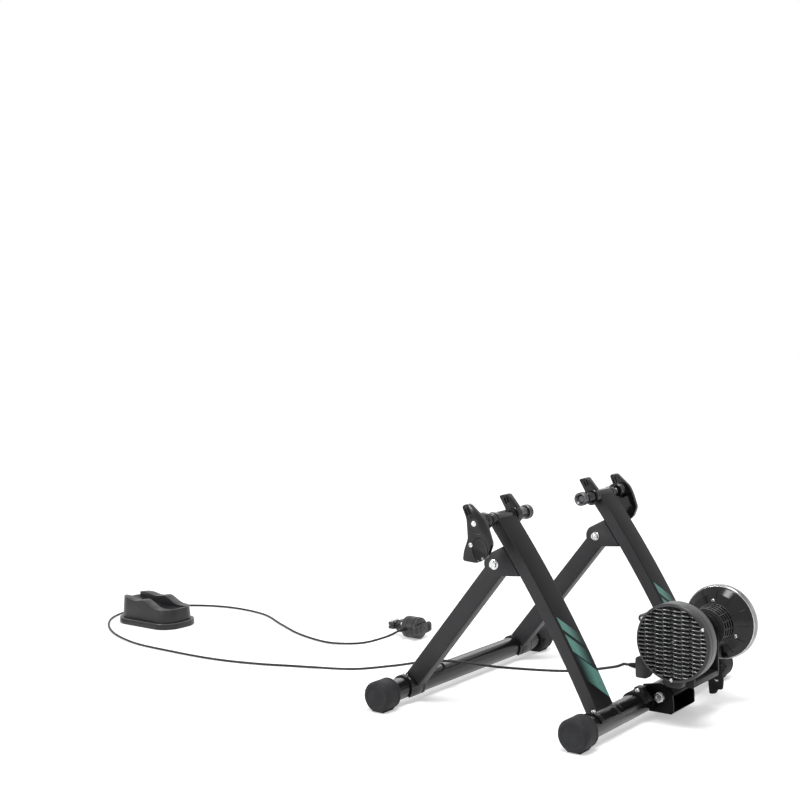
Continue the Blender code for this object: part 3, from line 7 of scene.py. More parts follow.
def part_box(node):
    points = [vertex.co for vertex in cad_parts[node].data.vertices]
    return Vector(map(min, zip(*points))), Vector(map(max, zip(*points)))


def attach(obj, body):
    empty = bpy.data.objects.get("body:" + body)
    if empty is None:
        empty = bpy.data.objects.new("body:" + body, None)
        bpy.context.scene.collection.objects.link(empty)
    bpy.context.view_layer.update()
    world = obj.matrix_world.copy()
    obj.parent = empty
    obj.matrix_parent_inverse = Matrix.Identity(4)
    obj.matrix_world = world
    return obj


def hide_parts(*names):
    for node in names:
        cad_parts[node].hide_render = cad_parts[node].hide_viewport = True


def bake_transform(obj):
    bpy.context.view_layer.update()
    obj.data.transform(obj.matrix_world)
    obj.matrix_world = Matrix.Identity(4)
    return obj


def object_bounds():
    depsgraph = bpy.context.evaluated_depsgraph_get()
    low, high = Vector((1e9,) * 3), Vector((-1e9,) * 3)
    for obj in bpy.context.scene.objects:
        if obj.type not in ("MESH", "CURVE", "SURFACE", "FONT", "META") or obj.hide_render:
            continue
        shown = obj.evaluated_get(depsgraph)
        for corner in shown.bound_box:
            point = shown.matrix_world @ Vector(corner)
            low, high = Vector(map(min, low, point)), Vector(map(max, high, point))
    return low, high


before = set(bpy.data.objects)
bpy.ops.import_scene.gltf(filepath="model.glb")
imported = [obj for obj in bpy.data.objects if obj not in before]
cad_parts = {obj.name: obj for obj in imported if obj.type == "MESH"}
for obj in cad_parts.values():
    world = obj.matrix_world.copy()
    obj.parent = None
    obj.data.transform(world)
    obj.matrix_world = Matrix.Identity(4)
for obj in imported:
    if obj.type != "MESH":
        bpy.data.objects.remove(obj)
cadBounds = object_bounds()
scene = bpy.context.scene
print("frame loaded:", len(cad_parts), "nodes")

mm = 0.001
apart = 0.3 * mm  # running gap between pieces
axes = {"X": (1, 0, 0), "Y": (0, 1, 0), "Z": (0, 0, 1)}
quarters = ((0, (1, 1)), (90, (-1, 1)), (180, (-1, -1)), (270, (1, -1)))


def middle(node):
    low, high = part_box(node)
    return (low + high) / 2


# places that the frame gives; x counts from the block's side towards the drum
axle = middle("clamp_tube_left")
unit = middle("flywheel")
rearTube = middle("rear_base_tube")
frontTube = middle("front_base_tube")
foldBolt = middle("outer_bush_left")
swingBolt = middle("swing_nut")
leverPin = middle("tension_pin")
legLow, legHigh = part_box("rear_leg_left")
legOuter, legInner = legLow.y, legHigh.y
legMiddle = (legOuter + legInner) / 2


# camera, from the photograph's own vanishing lines
cameraPlace = {"x": 1.29759, "y": -2.14026, "z": 0.70965,  # x from the wheel axle
               "yaw": 37.962, "down": 3.0224, "roll": -1.2966, "lens": 58.37, "sensor": 36, "clip": (0.05, 50)}


def makeCamera(place):
    bpy.ops.object.camera_add(location=(axle.x + place["x"], place["y"], place["z"]))
    cam = bpy.context.object
    cam.name = "photoCamera"
    cam.data.sensor_width = place["sensor"]
    cam.data.lens = place["lens"]
    cam.data.clip_start, cam.data.clip_end = place["clip"]
    cam.matrix_world = (Matrix.Translation(cam.location) @ Matrix.Rotation(math.radians(place["yaw"]), 4, "Z")
                        @ Matrix.Rotation(math.radians(90 - place["down"]), 4, "X")
                        @ Matrix.Rotation(math.radians(place["roll"]), 4, "Z"))
    scene.camera = cam


makeCamera(cameraPlace)


# working tools
def clearPick():
    if bpy.context.mode != "OBJECT":
        bpy.ops.object.mode_set(mode="OBJECT")
    bpy.ops.object.select_all(action="DESELECT")


def pick(*pieces):
    clearPick()
    for piece in pieces:
        piece.select_set(True)
    bpy.context.view_layer.objects.active = pieces[0]


def openEdit(piece, faces=None, points=None):  # all is picked when no test is given
    pick(piece)
    bpy.ops.object.mode_set(mode="EDIT")
    bpy.ops.mesh.select_mode(type="VERT" if points else "FACE")
    bpy.ops.mesh.select_all(action="DESELECT" if faces or points else "SELECT")
    if faces or points:
        bpy.ops.object.mode_set(mode="OBJECT")
        for face in piece.data.polygons if faces else ():
            face.select = bool(faces(face.center, face.normal))
        for point in piece.data.vertices if points else ():
            point.select = bool(points(point.co))
        bpy.ops.object.mode_set(mode="EDIT")


def moveIn(piece, move, points=None):  # moves the mesh, or the points that pass the test
    openEdit(piece, points=points)
    bpy.ops.transform.translate(value=move)
    bpy.ops.object.mode_set(mode="OBJECT")


def turnIn(piece, angle, axis, centre):
    openEdit(piece)
    bpy.ops.transform.rotate(value=angle, orient_axis=axis, center_override=centre)
    bpy.ops.object.mode_set(mode="OBJECT")
    return piece


def turnAbout(piece, centre, angle):  # about the line along Y through the centre
    turn = Matrix.Translation(centre) @ Matrix.Rotation(angle, 4, "Y") @ Matrix.Translation([-c for c in centre])
    piece.data.transform(turn @ piece.matrix_world)
    piece.matrix_world = Matrix.Identity(4)
    return piece


def closeShape(piece):  # one clean closed skin, facing out
    if bpy.context.mode != "EDIT_MESH":
        openEdit(piece)
    bpy.ops.mesh.select_all(action="SELECT")
    bpy.ops.mesh.remove_doubles(threshold=0.004 * mm)
    bpy.ops.mesh.normals_make_consistent(inside=False)
    bpy.ops.object.mode_set(mode="OBJECT")
    return piece


def baked():  # the piece just added, with its place and size in the mesh
    bpy.ops.object.transform_apply(location=True, rotation=True, scale=True)
    return bpy.context.object


def apply(piece, kind, **settings):
    pick(piece)
    modifier = piece.modifiers.new(kind.title(), kind)
    for name, value in settings.items():
        setattr(modifier, name, value)
    bpy.ops.object.modifier_apply(modifier=modifier.name)
    return piece


def roundEdges(piece, width, segments=2, angle=30):
    return apply(piece, "BEVEL", width=width, segments=segments, limit_method="ANGLE",
                 angle_limit=math.radians(angle), use_clamp_overlap=True)


def cutAway(piece, *tools):
    for tool in tools:
        apply(piece, "BOOLEAN", operation="DIFFERENCE", solver="EXACT", object=tool)
        bpy.data.objects.remove(tool)
    return piece


def gather(piece, *others):  # several closed skins in one piece
    pick(piece, *others)
    bpy.ops.object.join()
    return piece


def copyOf(piece):
    pick(piece)
    bpy.ops.object.duplicate()
    return bpy.context.object


def mirrored(piece):  # the same piece on the wheel's other side
    copyOf(piece)
    twin = baked()
    openEdit(twin)
    bpy.ops.transform.resize(value=(1, -1, 1), center_override=(0, 0, 0))
    return closeShape(twin)


def drawLine(points):  # a chain of edges, left picked in edit mode
    clearPick()
    bpy.ops.mesh.primitive_plane_add(size=mm, location=points[0])
    bpy.ops.object.mode_set(mode="EDIT")
    bpy.ops.mesh.select_mode(type="VERT")
    bpy.ops.mesh.select_all(action="SELECT")
    bpy.ops.mesh.merge(type="CENTER")
    for near, far in zip(points, points[1:]):
        bpy.ops.mesh.extrude_region_move(TRANSFORM_OT_translate={"value": Vector(far) - Vector(near)})
    bpy.ops.mesh.select_all(action="SELECT")
    return bpy.context.object


def offsets(along, out, *steps):  # profile points, as steps in mm from one place
    return [(along + a * mm, out + b * mm) for a, b in steps]


def turnShape(profile, at, axis="Y", steps=64, angle=math.tau, filled=False):
    # profile: (place along the axis, distance from it); ends on the axis or where it began
    x, y, z = at
    place = {"X": lambda a, r: (a, y, z + r), "Y": lambda a, r: (x + r, a, z), "Z": lambda a, r: (x + r, y, a)}
    piece = drawLine([place[axis](a, r) for a, r in profile])
    if filled:
        bpy.ops.mesh.edge_face_add()
    bpy.ops.mesh.spin(steps=steps, angle=angle, center=at, axis=axes[axis])
    return closeShape(piece)


def plateShape(outline, low, high, axis="Y", corner=0, edge=0, segments=2):
    # outline: (x, z) along Y, (y, z) along X, (x, y) along Z
    place = {"X": lambda u, v: (low, u, v), "Y": lambda u, v: (u, low, v), "Z": lambda u, v: (u, v, low)}
    piece = drawLine([place[axis](u, v) for u, v in outline])
    bpy.ops.mesh.edge_face_add()
    if corner:
        bpy.ops.mesh.bevel(offset=corner, segments=4, affect="VERTICES", offset_type="OFFSET")
    bpy.ops.mesh.select_all(action="SELECT")
    bpy.ops.mesh.extrude_region_move(TRANSFORM_OT_translate={"value": Vector(axes[axis]) * (high - low)})
    closeShape(piece)
    return roundEdges(piece, edge, segments, 40) if edge else piece


def blockShape(low, high, edge=0, segments=2):
    low, high = Vector(low), Vector(high)
    clearPick()
    bpy.ops.mesh.primitive_cube_add(size=1, location=(low + high) / 2, scale=high - low)
    piece = baked()
    return roundEdges(piece, edge, segments) if edge else piece


def rodShape(at, low, high, radius, axis="Y", sides=48):
    at = Vector(at)
    at["XYZ".index(axis)] = (low + high) / 2
    turn = {"X": (0, math.pi / 2, 0), "Y": (math.pi / 2, 0, 0), "Z": (0, 0, 0)}[axis]
    clearPick()
    bpy.ops.mesh.primitive_cylinder_add(vertices=sides, radius=radius, depth=high - low, location=at,
                                        rotation=turn)
    return baked()


def beadAlong(points, radius, closed=False):  # a round bead that follows the points
    line = bpy.data.curves.new("bead", "CURVE")
    line.dimensions = "3D"
    line.bevel_depth = radius
    line.bevel_resolution = 2
    line.use_fill_caps = True
    spline = line.splines.new("POLY")
    spline.points.add(len(points) - 1)
    for point, place in zip(spline.points, points):
        point.co = (*place, 1)
    spline.use_cyclic_u = closed
    bead = bpy.data.objects.new("bead", line)
    scene.collection.objects.link(bead)
    pick(bead)
    bpy.ops.object.convert(target="MESH")
    return closeShape(bpy.context.object)


def arcOf(x, z, radius, start, end, count):
    turns = [math.radians(start + (end - start) * i / (count - 1)) for i in range(count)]
    return [(x + radius * math.cos(t), z + radius * math.sin(t)) for t in turns]


def roundedBox(u, v, halfU, halfV, corner, steps):  # outline of a box with round corners
    loop = []
    for turn, (a, b) in quarters:
        loop += arcOf(u + a * (halfU - corner), v + b * (halfV - corner), corner, turn, turn + 90, steps)
    return loop


def sharesOf(outline, size, x, z):
    return [(x + u * size, z + v * size) for u, v in outline]


def smoothRoute(route, count):  # evenly spread points on a curve through the route's points
    knots = [Vector(point) for point in route]
    knots = [knots[0] * 2 - knots[1]] + knots + [knots[-1] * 2 - knots[-2]]
    fine = []
    for a, b, c, d in zip(knots, knots[1:], knots[2:], knots[3:]):
        for i in range(24):
            t = i / 24
            fine.append(0.5 * (2 * b + (c - a) * t + (2 * a - 5 * b + 4 * c - d) * t ** 2
                               + (3 * b - a - 3 * c + d) * t ** 3))
    fine.append(knots[-2])
    run = [0.0]
    for near, far in zip(fine, fine[1:]):
        run.append(run[-1] + (far - near).length)
    chosen, place = [], 0
    for i in range(count):
        target = run[-1] * i / (count - 1)
        while place < len(fine) - 2 and run[place + 1] < target:
            place += 1
        chosen.append(fine[place].lerp(fine[place + 1], (target - run[place]) / (run[place + 1] - run[place])))
    return chosen


def settle(piece, name, body, paint, slot, *nodes, smooth=32):  # finished: place in the mesh, on its body
    piece.name = name
    pick(piece)
    baked()
    bpy.ops.object.shade_smooth_by_angle(angle=math.radians(smooth))
    piece.data.materials.clear()
    piece.data.materials.append(paints[paint])
    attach(piece, body)
    if nodes:
        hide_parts(*nodes)


def settleSides(piece, name, body, paint, slot, node=None):  # the left piece and its mirror image
    twin = mirrored(piece)
    for half, side in ((piece, "left"), (twin, "right")):
        nodes = [node.format(side)] if node else []
        settle(half, name.format(side.title()), body.format(side), paint, slot, *nodes)
    return piece, twin


# finishes
def mapped(tree, scale=(1, 1, 1), location=(0, 0, 0)):
    coords = tree.nodes.new("ShaderNodeTexCoord")
    mapping = tree.nodes.new("ShaderNodeMapping")
    mapping.inputs["Scale"].default_value = scale
    mapping.inputs["Location"].default_value = location
    tree.links.new(coords.outputs["Object"], mapping.inputs["Vector"])
    return mapping.outputs["Vector"]


def cloud(tree, vector, scale, detail, rough=0.55):
    node = tree.nodes.new("ShaderNodeTexNoise")
    for name, value in (("Scale", scale), ("Detail", detail), ("Roughness", rough)):
        node.inputs[name].default_value = value
    tree.links.new(vector, node.inputs["Vector"])
    return node.outputs["Fac"]


def ranged(tree, value, fromLow, fromHigh, low=0.0, high=1.0):
    node = tree.nodes.new("ShaderNodeMapRange")
    tree.links.new(value, node.inputs["Value"])
    for name, number in (("From Min", fromLow), ("From Max", fromHigh), ("To Min", low), ("To Max", high)):
        node.inputs[name].default_value = number
    return node.outputs["Result"]


def reckon(tree, kind, first, second=0.0):
    node = tree.nodes.new("ShaderNodeMath")
    node.operation = kind
    for socket, value in zip(node.inputs, (first, second)):
        if isinstance(value, (int, float)):
            socket.default_value = value
        else:
            tree.links.new(value, socket)
    return node.outputs["Value"]


def blendColours(tree, share, near, far):
    node = tree.nodes.new("ShaderNodeMix")
    node.data_type = "RGBA"
    tree.links.new(share, node.inputs[0])
    for socket, value in ((node.inputs[6], near), (node.inputs[7], far)):
        if isinstance(value, tuple):
            socket.default_value = (*value, 1)
        else:
            tree.links.new(value, socket)
    return node.outputs[2]


usualLook = {
    "metal": 0.0, "coat": 0.0, "coatRough": 0.06, "shine": 0.5, "brush": (1, 1, 1), "patchRange": (0.32, 0.68),
    "scuffScale": 90, "scuffGrain": (6, 0.72), "scuffRange": (0.60, 0.74), "scuff": 0.3, "scuffRough": 0.25,
    "fineGrain": (5, 0.6), "fineRange": (0.3, 0.7), "bump": 0.2, "depth": 0.0002,
}


def makePaint(name, look):  # two tones in patches, fine grain, and scuffs that show a third tone
    look = {**usualLook, "worn": look["light"], **look}
    paint = bpy.data.materials.new(name)
    paint.use_nodes = True
    tree = paint.node_tree
    shader = tree.nodes["Principled BSDF"]
    for socket, key in (("Metallic", "metal"), ("Coat Weight", "coat"), ("Coat Roughness", "coatRough"),
                        ("Specular IOR Level", "shine")):
        shader.inputs[socket].default_value = look[key]
    plain, brushed = mapped(tree), mapped(tree, look["brush"])
    patches = cloud(tree, plain, look["patch"], 3)
    colour = blendColours(tree, ranged(tree, patches, *look["patchRange"]), look["dark"], look["light"])
    scuffs = ranged(tree, cloud(tree, brushed, look["scuffScale"], *look["scuffGrain"]), *look["scuffRange"])
    scuffs = reckon(tree, "MULTIPLY", scuffs, look["scuff"])
    tree.links.new(blendColours(tree, scuffs, colour, look["worn"]), shader.inputs["Base Color"])
    fine = cloud(tree, brushed, look["grain"], *look["fineGrain"])
    rough = ranged(tree, fine, *look["fineRange"], *look["rough"])
    rough = reckon(tree, "ADD", rough, reckon(tree, "MULTIPLY", scuffs, look["scuffRough"]))
    tree.links.new(rough, shader.inputs["Roughness"])
    bump = tree.nodes.new("ShaderNodeBump")
    bump.inputs["Strength"].default_value = look["bump"]
    bump.inputs["Distance"].default_value = look["depth"]
    tree.links.new(fine, bump.inputs["Height"])
    tree.links.new(bump.outputs["Normal"], shader.inputs["Normal"])
    return paint


def grey(tone, blue=None):
    return tone, tone, tone if blue is None else blue


paintLooks = {
    "tubeGloss": {"dark": grey(0.004, 0.0045), "light": grey(0.008, 0.009), "patch": 9, "rough": (0.16, 0.26),
                  "grain": 420, "bump": 0.10, "worn": grey(0.03, 0.032), "scuffScale": 60, "brush": (1, 0.35, 1),
                  "coat": 0.15, "shine": 0.30},
    "legSatin": {"dark": grey(0.013, 0.0145), "light": grey(0.020, 0.022), "patch": 12, "rough": (0.38, 0.50),
                 "grain": 900, "bump": 0.30, "depth": 0.0001, "scuff": 0.25, "worn": grey(0.050, 0.053),
                 "scuffScale": 70, "shine": 0.28},
    "capRubber": {"dark": grey(0.019, 0.0205), "light": grey(0.029, 0.031), "patch": 35, "rough": (0.55, 0.72),
                  "grain": 700, "bump": 0.45, "depth": 0.0003, "scuff": 0.5, "worn": (0.062, 0.061, 0.060),
                  "scuffScale": 110, "shine": 0.16},
    "zincPlate": {"dark": (0.42, 0.43, 0.44), "light": grey(0.70, 0.69), "patch": 160, "rough": (0.20, 0.36),
                  "grain": 600, "bump": 0.22, "depth": 0.0001, "metal": 1.0, "scuff": 0.6,
                  "worn": grey(0.22, 0.21), "scuffScale": 220},
    "handleGloss": {"dark": grey(0.004, 0.0045), "light": grey(0.007, 0.008), "patch": 25, "rough": (0.10, 0.18),
                    "grain": 300, "bump": 0.06, "worn": grey(0.03, 0.032), "coat": 0.03, "shine": 0.30},
    "drumPlastic": {"dark": grey(0.016, 0.018), "light": grey(0.026, 0.028), "patch": 22, "rough": (0.32, 0.44),
                    "grain": 1100, "bump": 0.30, "depth": 0.00012, "worn": grey(0.07, 0.073),
                    "scuffScale": 120, "shine": 0.42},
    # the blades' plastic is the drum's, with a lighter tone as painted highlight on the slats, and a glossy coat
    "bladeGlossPaintedHighlight": {"dark": grey(0.022, 0.024), "light": grey(0.044, 0.047), "patch": 30, "rough": (0.16, 0.26),
                   "grain": 900, "bump": 0.15, "depth": 0.0001, "worn": grey(0.09, 0.093), "scuffScale": 160,
                   "coat": 0.9, "shine": 1.0},
    "castBlack": {"dark": grey(0.005, 0.006), "light": grey(0.012, 0.013), "patch": 60, "rough": (0.32, 0.5),
                  "grain": 260, "bump": 0.5, "depth": 0.0005, "worn": grey(0.045, 0.046), "shine": 0.2},
    # painted shade: the bracket's black is a darker, duller copy of the tube's black, so it shows less reflected
    # light than the tube
    "bracketShadedBlack": {"dark": grey(0.002, 0.0025), "light": grey(0.005, 0.0055), "patch": 18, "rough": (0.26, 0.38),
                     "grain": 500, "bump": 0.15, "worn": grey(0.025, 0.026), "scuffScale": 80, "shine": 0.1},
    "pinBlack": {"dark": grey(0.010, 0.011), "light": grey(0.020, 0.021), "patch": 90, "rough": (0.3, 0.45),
                 "grain": 500, "depth": 0.0001, "metal": 0.6, "scuff": 0.5, "worn": grey(0.06),
                 "scuffScale": 200, "shine": 0.3},
    "spindleSteel": {"dark": grey(0.05, 0.055), "light": grey(0.12, 0.125), "patch": 80, "rough": (0.25, 0.4),
                     "grain": 500, "metal": 0.9, "scuff": 0.5, "worn": grey(0.30), "scuffScale": 140},
    "rollerAlloy": {"dark": grey(0.24, 0.25), "light": grey(0.40, 0.41), "patch": 40, "rough": (0.3, 0.45),
                    "grain": 900, "brush": (1, 0.03, 1), "bump": 0.25, "metal": 1.0, "scuff": 0.4,
                    "worn": grey(0.14), "scuffScale": 60},
    "nylonBush": {"dark": (0.62, 0.60, 0.55), "light": (0.74, 0.72, 0.68), "patch": 90, "rough": (0.45, 0.6),
                  "grain": 500, "bump": 0.15, "worn": (0.40, 0.38, 0.35)},
    "cableSkin": {"dark": grey(0.005), "light": grey(0.010), "patch": 30, "rough": (0.38, 0.52), "grain": 900,
                  "bump": 0.25, "depth": 0.0001, "worn": grey(0.035), "shine": 0.3},
    "blockPlastic": {"dark": grey(0.007, 0.0085), "light": grey(0.012, 0.0135), "patch": 16, "rough": (0.28, 0.40),
                     "grain": 850, "bump": 0.3, "scuff": 0.35, "worn": grey(0.045, 0.046), "scuffScale": 80,
                     "shine": 0.40},
    # the block's plastic in a much lighter tone, as painted highlight lines on the edge beads
    "lipPaintedHighlight": {"dark": grey(0.055, 0.058), "light": grey(0.085, 0.088), "patch": 30, "rough": (0.30, 0.42),
                 "grain": 700, "depth": 0.0001, "scuff": 0.4, "worn": grey(0.16), "scuffScale": 60},
}
paints = {name: makePaint(name, look) for name, look in paintLooks.items()}


def repaint(node, paint):  # a CAD solid that is shown as it is
    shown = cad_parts[node]
    shown.data.materials.clear()
    shown.data.materials.append(paints[paint])


print("finishes made:", len(paints))


# base tubes, glossy black, open inside
tubeSizes = {"wall": 0.0016, "steps": 96}


def makeBaseTube(node):
    low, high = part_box(node)
    outer = (high.z - low.z) / 2
    inner = outer - tubeSizes["wall"]
    profile = [(low.y, outer), (high.y, outer), (high.y, inner), (low.y, inner), (low.y, outer)]
    return turnShape(profile, (low + high) / 2, steps=tubeSizes["steps"])


for end in ("rear", "front"):
    node = end + "_base_tube"
    settle(makeBaseTube(node), end + "Tube", end + "_frame", "tubeGloss", "tube_black", node)

# moulded end caps with a lipped mouth, a domed face and a stepped foot; profile rows are in mm
capSizes = {
    "bore": 0.0207, "wall": 0.0042, "steps": 96, "notchHalf": 0.0035, "notchWide": 0.0075, "notchDeep": 0.0045,
    "mouth": ((0, -2.7), (-0.9, -0.9), (-2.34, 0), (-6.3, 0), (-7.02, -0.9), (-8.28, -0.9), (-9, -0.18)),
    "face": ((10.5, 0), (9.8, -0.63), (8.6, -0.63), (7.9, 0), (4.2, 0), (2.3, -0.8), (1, -2.2), (0.3, -4.2),
        (0, -6.4), (0.3, -8.2), (1.2, -9.4), (1.2, -12)), "hollow": (0.0006, 0.38), "middle": 0.0002,
    "footWide": 0.0148, "footHigh": 0.0086, "footStep": 0.0026, "footInset": 0.0018, "footEdge": 0.0007,
    "footClear": 0.004,
}


def makeCap(node):
    sizes = capSizes
    low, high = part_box(node)
    end, mouth, bore = low.y, high.y, sizes["bore"]
    big = (high.x - low.x) / 2
    centre = Vector(((low.x + high.x) / 2, 0, high.z - big))
    inner = end + sizes["wall"]
    deep, share = sizes["hollow"]
    cap = turnShape([(inner, 0), (inner, bore), (mouth, bore), *offsets(mouth, big, *sizes["mouth"]),
                     *offsets(end, big, *sizes["face"]), (end + deep, big * share), (end + sizes["middle"], 0)],
                    centre, steps=sizes["steps"])
    half, notch = sizes["notchHalf"], sizes["notchWide"] / 2
    for x in (centre.x - big, centre.x + big):  # a small notch in the mouth at each side
        cutAway(cap, blockShape((x - half, mouth - sizes["notchDeep"], centre.z - notch),
                                (x + half, mouth + 2 * mm, centre.z + notch)))
    wide, step, clear = sizes["footWide"], sizes["footStep"], sizes["footClear"]
    foot = blockShape((centre.x - wide, end + clear, step), (centre.x + wide, mouth - clear, sizes["footHigh"]))
    openEdit(foot, faces=lambda place, facing: facing.z < -0.9)
    bpy.ops.mesh.inset(thickness=sizes["footInset"], depth=0)
    bpy.ops.mesh.extrude_region_move(TRANSFORM_OT_translate={"value": (0, 0, -step)})
    return gather(cap, roundEdges(closeShape(foot), sizes["footEdge"]))


for end in ("rear", "front"):
    cap = makeCap(end + "_cap_left")
    settleSides(cap, end + "Cap{}", end + "_frame", "capRubber", "cap_rubber", end + "_cap_{}")

# saddles: ribbed bent plates over the tubes, each with a socket screw
saddleSizes = {
    "inner": 0.0208, "outer": 0.0233, "rib": 0.0007, "halfTurn": 98, "steps": 56, "edge": 0.0004,
    "beads": (0.06, 0.74, 0.80), "bead": ((0, 0.7), (1, 0), (2.2, 0), (3.2, 0.7)), "screw": 0.0042,
    "screwHigh": 0.0036, "fromEnd": 0.0085,
}
socketShares = {"sunk": 0.0015, "wall": 0.75, "top": 0.82, "floor": 0.35, "hexagon": 0.52}


def socketScrew(at, radius, height, axis="Z"):  # round head with a hexagon socket; along Y it looks left
    shares = socketShares
    seat, out = (at[2], 1) if axis == "Z" else (at[1], -1)
    under, wall, top = (seat + out * rise for rise in (-shares["sunk"], height * shares["wall"], height))
    head = turnShape([(under, 0), (under, radius), (wall, radius), (top, radius * shares["top"]), (top, 0)],
                     at, axis, 32)
    ends = sorted((seat + out * height * shares["floor"], seat + out * height * 2))
    return cutAway(head, rodShape(at, *ends, radius * shares["hexagon"], axis, 6))


def makeSaddle(node, tube, lean):
    sizes = saddleSizes
    low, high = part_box(node)
    near, far, inner, outer = high.y, low.y, sizes["inner"], sizes["outer"]
    crest, centre, half = outer + sizes["rib"], (tube.x, 0, tube.z), math.radians(sizes["halfTurn"])
    wave = [(far, inner), (far, crest)]
    for place in sizes["beads"]:  # a bead along each rim and one beside the leg
        wave += offsets(far + (near - far) * place, outer, *sizes["bead"])
    wave += [(near, crest), (near, inner)]
    shell = turnShape(wave, centre, steps=sizes["steps"], angle=2 * half, filled=True)
    turnAbout(shell, centre, half - lean)  # spun from level, so this brings it over the leg's line
    roundEdges(shell, sizes["edge"])
    screw = socketScrew((tube.x, far + sizes["fromEnd"], tube.z + outer), sizes["screw"], sizes["screwHigh"])
    return shell, screw


for end, tube, top in (("rear", rearTube, axle), ("front", frontTube, foldBolt)):
    body = end + "_frame"
    shell, screw = makeSaddle(end + "_saddle_left", tube, math.atan2(top.z - tube.z, top.x - tube.x))
    settleSides(shell, end + "Saddle{}", body, "tubeGloss", "tube_black", end + "_saddle_{}")
    for piece, name in ((mirrored(screw), "SaddleScrewRight"), (screw, "SaddleLeftScrew")):
        settle(piece, end + name, body, "zincPlate", "zinc")
print("base, caps and saddles done")


# rear legs: a bowed box section swept about the centre of its bow
rearLegSizes = {
    "depth": 0.025, "bow": 0.0095, "edge": 0.0032, "start": 0.006, "steps": 48, "short": 0.01025,
    "topClear": 0.0123, "footClear": 0.0236, "beyond": 0.02,
}
chord = Vector((rearTube.x - axle.x, rearTube.z - axle.z))
bowRadius = chord.length ** 2 / (8 * rearLegSizes["bow"]) + rearLegSizes["bow"] / 2
chordSide = Vector((-chord.y, chord.x)).normalized()
bowCentre = (Vector((axle.x, axle.z)) + chord / 2) - chordSide * (bowRadius - rearLegSizes["bow"])
bowStart = math.atan2(axle.z - bowCentre.y, axle.x - bowCentre.x)


def besideLeg(along, offset):  # a point in the leg's plane; offset counts towards the drum
    turn = bowStart - along / bowRadius
    return (bowCentre.x + (bowRadius + offset) * math.cos(turn),
            bowCentre.y + (bowRadius + offset) * math.sin(turn))


def makeRearLeg():
    sizes = rearLegSizes
    start, beyond = sizes["start"], sizes["beyond"]
    points = []
    for offset, y in roundedBox(0, legMiddle, sizes["depth"] / 2, (legInner - legOuter) / 2, sizes["edge"], 5):
        x, z = besideLeg(start, offset)
        points.append((x, y, z))
    leg = drawLine(points)
    bpy.ops.mesh.edge_face_add()
    bpy.ops.mesh.spin(steps=sizes["steps"], angle=(chord.length - sizes["short"] - start) / bowRadius,
                      center=(bowCentre.x, legMiddle, bowCentre.y), axis=(0, -1, 0))
    closeShape(leg)
    for place, clear in ((axle, "topClear"), (rearTube, "footClear")):
        cutAway(leg, rodShape(place, legOuter - beyond, legInner + beyond, sizes[clear], sides=64))
    return leg


# print on the rear face: three slanted fading bars, no words
barPrint = {
    "teal": (0.115, 0.265, 0.228), "slant": 0.95, "topZ": 0.2048, "topAlong": 0.2050, "fall": 0.882,
    "inset": 0.0068, "bars": ((0.1986, 0.2215), (0.2306, 0.2621)), "lastBar": (0.2660, 0.3140),
    "fading": (0.022, 0.046, 1.0, 0.06), "rising": (0.010, 0.036, 0.03, 1.0), "screen": 620,
    "dots": (0.1, 0.7, 1.0, 0.72), "faces": (0.8, 0.011), "ground": {"dark": grey(0.0035, 0.004),
        "light": grey(0.0065, 0.007), "worn": grey(0.016, 0.017), "shine": 0.16},
}


def makeLegPrint(look):
    paint = makePaint("legPrint", {**paintLooks["legSatin"], **look["ground"]})
    tree = paint.node_tree
    colour = tree.nodes["Principled BSDF"].inputs["Base Color"]
    below = colour.links[0].from_socket
    split = tree.nodes.new("ShaderNodeSeparateXYZ")
    coords = tree.nodes.new("ShaderNodeTexCoord")
    tree.links.new(coords.outputs["Object"], split.inputs["Vector"])
    farLeg = reckon(tree, "GREATER_THAN", split.outputs["Y"], 0.0)  # both legs carry it the same way round
    edgeY = reckon(tree, "ADD", legOuter, reckon(tree, "MULTIPLY", farLeg, -legOuter - legInner))
    inward = reckon(tree, "SUBTRACT", split.outputs["Y"], edgeY)
    along = reckon(tree, "MULTIPLY", reckon(tree, "SUBTRACT", look["topZ"], split.outputs["Z"]), 1 / look["fall"])
    slanted = reckon(tree, "SUBTRACT", reckon(tree, "ADD", along, look["topAlong"]),
                     reckon(tree, "MULTIPLY", inward, look["slant"]))

    def between(low, high):
        inside = reckon(tree, "GREATER_THAN", slanted, low)
        return reckon(tree, "MULTIPLY", inside, reckon(tree, "LESS_THAN", slanted, high))

    first = reckon(tree, "ADD", *(between(*bar) for bar in look["bars"]))
    fading, rising = (ranged(tree, inward, *look[way]) for way in ("fading", "rising"))
    share = reckon(tree, "ADD", reckon(tree, "MULTIPLY", first, fading),
                   reckon(tree, "MULTIPLY", between(*look["lastBar"]), rising))
    share = reckon(tree, "MULTIPLY", share, reckon(tree, "GREATER_THAN", inward, look["inset"]))
    dots = tree.nodes.new("ShaderNodeTexVoronoi")  # fine screen dots of the print
    dots.inputs["Scale"].default_value = look["screen"]
    tree.links.new(coords.outputs["Object"], dots.inputs["Vector"])
    share = reckon(tree, "MULTIPLY", share, ranged(tree, dots.outputs["Distance"], *look["dots"]))
    tree.links.new(blendColours(tree, share, below, look["teal"]), colour)
    return paint


legPrint = makeLegPrint(barPrint)
squareOn, beyondBow = barPrint["faces"]
for leg in settleSides(makeRearLeg(), "rearLeg{}", "rear_frame", "legSatin", "leg_grey", "rear_leg_{}"):
    leg.data.materials.append(legPrint)
    for face in leg.data.polygons:  # the face towards the drum carries the print
        x, z = face.center.x - bowCentre.x, face.center.z - bowCentre.y
        out = Vector((x, 0, z)).normalized()
        if face.normal.dot(out) > squareOn and math.hypot(x, z) > bowRadius + beyondBow:
            face.material_index = 1

# front legs: straight box sections with a round head on the fold bolt
frontLegSizes = {
    "half": 0.018, "bolt": 0.0046, "edge": 0.0028, "footClear": 0.0236, "short": 0.0102, "beyond": 0.01,
}


